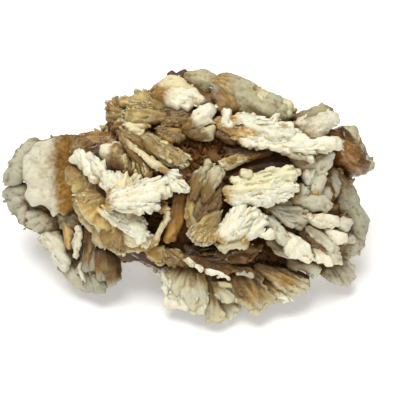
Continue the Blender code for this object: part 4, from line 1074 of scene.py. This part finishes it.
def globe_cell(rays):
    """The row and the side of the globe that each ray meets."""
    row = np.arccos(np.clip(rays[:, 2], -1, 1)) / np.pi * GLOBE_ROWS
    side = (np.arctan2(rays[:, 1], rays[:, 0]) / math.tau + 1) % 1 * GLOBE_SIDES
    return np.clip(row.astype(int), 0, GLOBE_ROWS - 1), side.astype(int) % GLOBE_SIDES


def cover_cell(flat):
    """The cell of the viewer's map that each point of the layout lies in."""
    cell = np.round(flat[:, :2] / COVER_STEP).astype(int) + COVER_HALF
    return tuple(cell.clip(0, 2 * COVER_HALF).T)


def map_of_tops(flats):
    """How far toward the viewer the points of a layout reach, cell by cell."""
    tops = np.full((2 * COVER_HALF + 1, 2 * COVER_HALF + 1), NOTHING)
    for flat in flats:
        np.maximum.at(tops, cover_cell(flat), flat[:, 2])
    return tops


def reach_over(cells, count, grow):
    """Cells grown or shrunk by so many cells on every side."""
    for _ in range(count):
        moved = [np.roll(cells, step, axis) for step in (1, -1) for axis in (0, 1)]
        cells = np.any([cells, *moved], axis=0) if grow else np.all([cells, *moved], axis=0)
    return cells


def heart_piece(pick, hidden):
    """The massive heart, uneven and set with small crystals."""
    piece = Piece("heart")
    rays = np.concatenate([sphere(HEART_ROWS, HEART_AROUND, 0), [(0, 0, 1), (0, 0, -1)]])
    reach = heart_reach(rays, HEART_FINE_STEPS) - HEART_SUNK
    skin = rays * reach[:, None]
    behind = smooth(*BEHIND, rays[:, 2])
    uneven = 1.2 * noise(skin / HEART_LUMPY[0], 5) + 0.8 * noise(skin / HEART_LUMPY[1], 6)
    rough = 0.5 * knobs(skin / HEART_ROUGH[0], 7) + 0.35 * knobs(skin / HEART_ROUGH[1], 8)
    points = laid_out(HEART_MIDDLE + rays * (reach + uneven + behind * (rough - 0.6))[:, None])
    # Its front is dark brown as painted shade for the cavities it shows in; its back is crusted
    host = Host(Matrix.Identity(4), 100, 100, 100, "dark", (0, 0, 1))
    patch = 0.35 + 0.9 * noise(skin / PATCH, 9) + 0.3 * rough
    looks = coloured(host.tone, len(points), behind * patch.clip(0, 1), 0.5, pick)
    looks[:, :3] = SMOKE
    looks[:, 4:7] += (np.array(TAN) - DARK) * 0.55 * behind[:, None]
    piece.add(points, skin_faces(HEART_ROWS, HEART_AROUND), points, looks, 0)
    rays = unit(pick.normal(size=(HEART_GRAINS, 3)))
    reach = heart_reach(rays, HEART_FINE_STEPS) - GRAIN_SUNK
    centres = laid_out(HEART_MIDDLE + rays * reach[:, None])
    along = rays @ np.array(AXES) + pick.normal(size=rays.shape) * 0.55
    sizes = pick.uniform(*HEART_GRAIN_SIZES, (HEART_GRAINS, 3))
    front, seen = rays[:, 2] > FRONT, ~hidden(centres)
    front |= pick.uniform(size=HEART_GRAINS) < 0.15
    for part, white in ((front & seen, 0.0), (~front & seen, 0.75)):
        up = pick.normal(size=(part.sum(), 3))
        laid = (centres[part], along[part], up, sizes[part])
        add_crystals(piece, host, pick, GRAIN, laid, ROUGH_SHINGLE, white)
    return piece


def regions():
    """Every piece of the cluster."""
    pick = np.random.default_rng(SEED)
    made = []
    for region, rows in FRONT_SLABS.items():
        made.append(Piece(region))
        for row in rows:
            build_slab(made[-1], Slab(*row), pick)
    tops = map_of_tops(in_layout(np.concatenate(piece.points)) for piece in made)
    covered = tops > NOTHING
    core = reach_over(reach_over(covered, COVER_CLOSED, True), COVER_CLOSED + COVER_INSET, False)
    reach = heart_reach(sphere(GLOBE_ROWS, GLOBE_SIDES, 0.5)).reshape(GLOBE_ROWS, GLOBE_SIDES)

    def hidden(points):
        """Which points lie deep in the heart, low, or outside what the slabs cover."""
        rays, far = from_heart(points)
        buried = (far < reach[globe_cell(rays)] - BURIED) | (points[:, 2] < BELOW)
        return buried | ~core[cover_cell(in_layout(points))]

    def kept_below(points):
        flat = in_layout(points)
        highest = np.where(covered, tops, -NOTHING)[cover_cell(flat)] - UNDER_GAP
        flat[:, 2] = np.minimum(flat[:, 2], highest)
        return laid_out(flat)

    def fitted(matrix, length, breadth):
        """The blade's sizes, made smaller until it lies inside what the slabs cover."""
        ring = np.linspace(0, math.tau, FIT_POINTS, endpoint=False)
        rim = joined(np.cos(ring) * length, np.sin(ring) * breadth, 0.0) * superellipse(ring)[:, None] / 2
        turn, centre = np.array(matrix.to_3x3()), np.array(matrix.translation) / MM
        size = 1.0
        while size > FIT_LEAST and not core[cover_cell(in_layout(size * rim @ turn.T + centre))].all():
            size -= FIT_STEP
        return length * size, breadth * size

    back = list(back_blades())
    half = len(back) // 2
    for region, members in (("back_left", back[:half]), ("back_right", back[half:])):
        made.append(Piece(region))
        for matrix, length, breadth, thick, tone in members:
            host = Host(matrix, *fitted(matrix, length, breadth), thick, tone, matrix.col[0].xyz)
            dress(made[-1], host, pick, hidden)
    made.append(heart_piece(pick, hidden))
    for piece in made[-3:]:
        piece.points = [kept_below(points) for points in piece.points]
    return made


def around_globe(canopy):
    """Each cell of the globe with its neighbours."""
    for cells in (canopy, np.roll(canopy, 1, 1), np.roll(canopy, -1, 1)):
        yield cells
        yield np.concatenate([cells[:1], cells[:-1]])
        yield np.concatenate([cells[1:], cells[-1:]])


def shade_gaps(pieces):
    """How deep each point lies under the outermost crystals round it, seen from the heart; the painted shade
    of the gaps follows it.
    """
    canopy = np.zeros((GLOBE_ROWS, GLOBE_SIDES))
    found = [from_heart(piece.points) for piece in pieces]
    for rays, far in found:
        np.maximum.at(canopy, globe_cell(rays), far)
    for _ in range(CANOPY_SPREAD):
        canopy = np.max(list(around_globe(canopy)), axis=0)
    for _ in range(CANOPY_BLUR):
        canopy = np.mean(list(around_globe(canopy)), axis=0)
    for piece, (rays, far) in zip(pieces, found):
        piece.depth = canopy[globe_cell(rays)] - far


def box_sum(cells):
    """Each cell's sum with its neighbours."""
    cells = cells + np.roll(cells, 1, 0) + np.roll(cells, -1, 0)
    return cells + np.roll(cells, 1, 1) + np.roll(cells, -1, 1)


def shade_crowded(pieces):
    """Places of the slabs that lie lower than what stands round them count as creases, which get painted
    shade.
    """
    flats = [in_layout(piece.points) for piece in pieces]
    tops = map_of_tops(flats)
    known = (tops > NOTHING).astype(float)
    total = tops * known
    for _ in range(CROWD_BLUR):
        total, known = box_sum(total), box_sum(known)
    level = total / np.maximum(known, 1e-9)
    for piece, flat in zip(pieces, flats):
        if piece.name in FRONT_SLABS:
            low = level[cover_cell(flat)] - flat[:, 2]
            piece.crease = np.maximum(piece.crease, smooth(*CROWDED, low))


class Nodes:
    """A small helper that adds nodes to a material and links them."""

    def __init__(self, name):
        self.material = bpy.data.materials.new(name)
        self.material.use_nodes = True
        self.tree = self.material.node_tree
        self.surface = self.tree.nodes["Principled BSDF"]

    def add(self, kind, **settings):
        made = self.tree.nodes.new(kind)
        for key, value in settings.items():
            setattr(made, key, value)
        return made

    def set(self, node, values):
        self.fill([node.inputs[title] for title in values], values.values())

    def fill(self, sockets, values):
        """Links or sets inputs in their order."""
        for socket, value in zip(sockets, values):
            if isinstance(value, bpy.types.NodeSocket):
                self.tree.links.new(value, socket)
            else:
                socket.default_value = value

    def attribute(self, name):
        return self.add("ShaderNodeAttribute", attribute_name=name).outputs

    def mix(self, share, first, second, kind="MIX"):
        made = self.add("ShaderNodeMix", data_type="RGBA", blend_type=kind)
        colours = ((*value, 1) if isinstance(value, tuple) else value for value in (first, second))
        self.fill((made.inputs["Factor"], *made.inputs[6:8]), (share, *colours))
        return made.outputs[2]

    def times(self, colour, by):
        return self.mix(1.0, colour, by, "MULTIPLY")

    def math(self, kind, *values):
        made = self.add("ShaderNodeMath", operation=kind)
        self.fill(made.inputs, (*values, 0.0))
        return made.outputs[0]

    def range(self, value, low, high, to_low=0.0, to_high=1.0):
        made = self.add("ShaderNodeMapRange", interpolation_type="SMOOTHSTEP")
        self.fill(made.inputs, (value, low, high, to_low, to_high))
        return made.outputs[0]

    def noise(self, vector, stretch, scale, detail):
        mapping = self.add("ShaderNodeMapping")
        self.set(mapping, {"Vector": vector, "Scale": stretch})
        made = self.add("ShaderNodeTexNoise")
        self.set(made, {"Vector": mapping.outputs[0], "Scale": scale, "Detail": detail})
        return made.outputs[0]


SHADE, SUNLIT = (0.62, 0.49, 0.33), (1.36, 1.34, 1.22)  # painted shade and painted light: what darkens and lightens the barite's own colour
STAIN, GAP_SHADE = (0.86, 0.79, 0.60), (0.50, 0.40, 0.26)  # what the crust is stained with, and the painted shade that darkens it in creases and gaps
BARITE_IOR = 1.64


def barite(name, clear):
    """Barite: 0 is opaque crust, 1 translucent blades and 2 clear ones."""
    nodes = Nodes(name)
    grown = nodes.attribute("grown")["Vector"]
    shell, under = nodes.attribute("shell"), nodes.attribute("under")
    crust, tip = shell["Alpha"], under["Alpha"]
    depth = nodes.attribute("depth")["Fac"]
    streaks = nodes.noise(grown, (0.16, 0.7, 0.7) if clear else (0.8, 0.8, 0.8), 0.9, 3.0)
    clouds = nodes.noise(grown, (0.22, 0.22, 0.22), 1.0, 2.0)
    grains = nodes.noise(grown, (0.9, 1.6, 1.6), 1.2, 4.0)

    # The barite itself: streaked along its growth between a painted shaded and a painted sunlit copy of its
    # colour, darker toward its root, and dark brown deep in the gaps, partly its darker core and partly
    # painted shade
    dim, bright = nodes.times(under["Color"], SHADE), nodes.times(under["Color"], SUNLIT)
    body = nodes.mix(nodes.range(streaks, 0.30, 0.70), dim, bright)
    body = nodes.mix(nodes.range(clouds, 0.45, 0.70, 0.0, 0.8), body, dim)
    body = nodes.mix(nodes.range(tip, 0.5, 0.85, 0.4, 0.0), body, BROWN)
    body = nodes.mix(nodes.range(depth, 2.5, 7.0, 0.0, 0.85), body, DARK)

    # The crust: stained in patches, with painted shade in creases and gaps
    stained = nodes.times(shell["Color"], STAIN)
    patches = nodes.noise(grown, (0.30, 0.30, 0.30), 1.0, 3.0)
    white = nodes.mix(nodes.range(patches, 0.42, 0.66, 0.0, 0.45), shell["Color"], stained)
    white = nodes.mix(nodes.range(grains, 0.50, 0.32, 0.0, 0.4), white, stained)
    white = nodes.mix(nodes.range(tip, 0.5, 0.0, 0.0, 0.5), white, under["Color"])
    shaded_white = nodes.times(white, GAP_SHADE)
    crease = nodes.attribute("crease")["Fac"]
    # Painted shade in creases darkens the crust and the barite beneath it
    white = nodes.mix(nodes.math("MULTIPLY", crease, 0.95), white, shaded_white)
    body = nodes.mix(nodes.math("MULTIPLY", crease, 0.6), body, nodes.times(body, SHADE))
    white = nodes.mix(nodes.range(depth, 2.5, 7.5, 0.0, 0.95), white, shaded_white)

    # The crust's edge runs out raggedly along the growth
    ragged = nodes.math("MULTIPLY", nodes.math("SUBTRACT", streaks, 0.5), 0.8 if clear else 0.4)
    spread = nodes.math("ADD", crust, ragged)
    spread = nodes.math("ADD", spread, nodes.math("MULTIPLY", nodes.math("SUBTRACT", clouds, 0.5), 0.8))
    colour = nodes.mix(nodes.range(spread, 0.12, 0.85), body, white)

    fine = nodes.noise(grown, (0.5, 3.4, 3.4) if clear else (1.4, 1.4, 1.4), 1.2, 3.0)
    rough = nodes.range(fine, 0.3, 0.7, *((0.40, 0.72), (0.26, 0.50), (0.10, 0.30))[clear])
    bump = nodes.add("ShaderNodeBump")
    nodes.set(bump, {"Strength": (0.9, 0.45, 0.2)[clear], "Distance": 0.0003, "Height": fine})
    glints = nodes.noise(grown, (2.6, 2.6, 2.6), 1.0, 1.0)
    nodes.set(nodes.surface, {
        "Base Color": colour,
        "Roughness": rough,
        "Normal": bump.outputs[0],
        "IOR": BARITE_IOR,
        "Specular IOR Level": 0.12,
        "Coat Weight": nodes.range(glints, 0.58, 0.66, 0.0, 0.7 if clear else 0.15),
        "Coat Roughness": 0.12,
        "Transmission Weight": (0.0, 0.3, 0.8)[clear],
        "Subsurface Weight": (0.3, 0.45, 0.2)[clear],
        "Subsurface Radius": (1.0, 0.62, 0.30),
        "Subsurface Scale": 0.0018 if clear else 0.0008,
    })
    return nodes.material


def finished(piece, materials):
    """One piece of the cluster as an object that rides on the part."""
    points = piece.points * MM
    points[:, 2] = np.maximum(points[:, 2], 0)
    name = "barite_" + piece.name
    mesh = bpy.data.meshes.new(name)
    mesh.from_pydata(points.tolist(), [], piece.faces.tolist())
    for title, kind, key, values in (
        ("grown", "FLOAT_VECTOR", "vector", piece.grown),
        ("shell", "FLOAT_COLOR", "color", piece.looks[:, :4]),
        ("under", "FLOAT_COLOR", "color", piece.looks[:, 4:]),
        ("depth", "FLOAT", "value", piece.depth),
        ("crease", "FLOAT", "value", piece.crease),
    ):
        made = mesh.attributes.new(title, kind, "POINT")
        made.data.foreach_set(key, values.astype(np.float32).ravel())
    mesh.polygons.foreach_set("use_smooth", piece.soft)
    for material in materials:
        mesh.materials.append(material)
    mesh.polygons.foreach_set("material_index", piece.clear.astype(np.int32))
    mesh.update()
    shown = show(name, mesh)
    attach(shown, "root")
    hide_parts("barite_cluster")


def show(name, data):
    shown = bpy.data.objects.new(name, data)
    bpy.context.scene.collection.objects.link(shown)
    return shown


def build_cluster():
    materials = [barite(f"barite_{kind}", clear) for clear, kind in enumerate(("crust", "honey", "clear"))]
    pieces = regions()
    for piece in pieces:
        piece.gather()
    shade_gaps(pieces)
    shade_crowded(pieces)
    for piece in pieces:
        finished(piece, materials)


FLOOR_HALF = 3.0  # m
LAMPS = (  # name, place in metres, size, power and colour
    ("key", (-0.12, 0.05, 0.80), 0.48, 6.0, (1.0, 0.98, 0.94)),
    ("fill", (0.12, -0.74, 0.34), 0.60, 2.1, (1.0, 0.99, 0.96)),
)
VIEW_AIM = (3.6, -0.9)  # the picture's middle, across and up the layout
LENS, SENSOR = 100.0, 36.0


def add_stage():
    """A plain white floor."""
    mesh = bpy.data.meshes.new("floor")
    corners = [(x * FLOOR_HALF, y * FLOOR_HALF, 0) for x, y in ((-1, -1), (1, -1), (1, 1), (-1, 1))]
    mesh.from_pydata(corners, [], [(0, 1, 2, 3)])
    nodes = Nodes("floor_white")
    nodes.set(nodes.surface, {
        "Base Color": (0.95, 0.95, 0.95, 1),
        "Roughness": 0.9,
        "Emission Color": (1, 1, 1, 1),
        "Emission Strength": 0.30,
    })
    mesh.materials.append(nodes.material)
    show("floor", mesh)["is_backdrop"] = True


def add_lights():
    for name, place, size, power, colour in LAMPS:
        lamp = bpy.data.lights.new(name, "AREA")
        lamp.size, lamp.energy, lamp.color = size, power, colour
        made = show(name, lamp)
        made.location = place
        made.rotation_euler = Vector(place).to_track_quat("Z", "Y").to_euler()
    world = bpy.data.worlds.new("studio")
    world.use_nodes = True
    sky = world.node_tree.nodes["Background"]
    sky.inputs["Color"].default_value = (1.0, 0.985, 0.96, 1)
    sky.inputs["Strength"].default_value = 0.18
    bpy.context.scene.world = world


def add_camera():
    camera = bpy.data.cameras.new("camera")
    camera.lens, camera.sensor_width = LENS, SENSOR
    camera.clip_start, camera.clip_end = 0.01, 20
    made = show("camera", camera)
    made.location = placed(*VIEW_AIM, 0) + AXES[2] * VIEWED_FROM * MM
    made.rotation_euler = AXES[2].to_track_quat("Z", "Y").to_euler()
    bpy.context.scene.camera = made


build_cluster()
add_stage()
add_lights()
add_camera()
bpy.context.scene.view_settings.view_transform = "Standard"
boxes = {"cad": cad_box, "visual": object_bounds()}
{k: [list(corner) for corner in box] for k, box in boxes.items()}
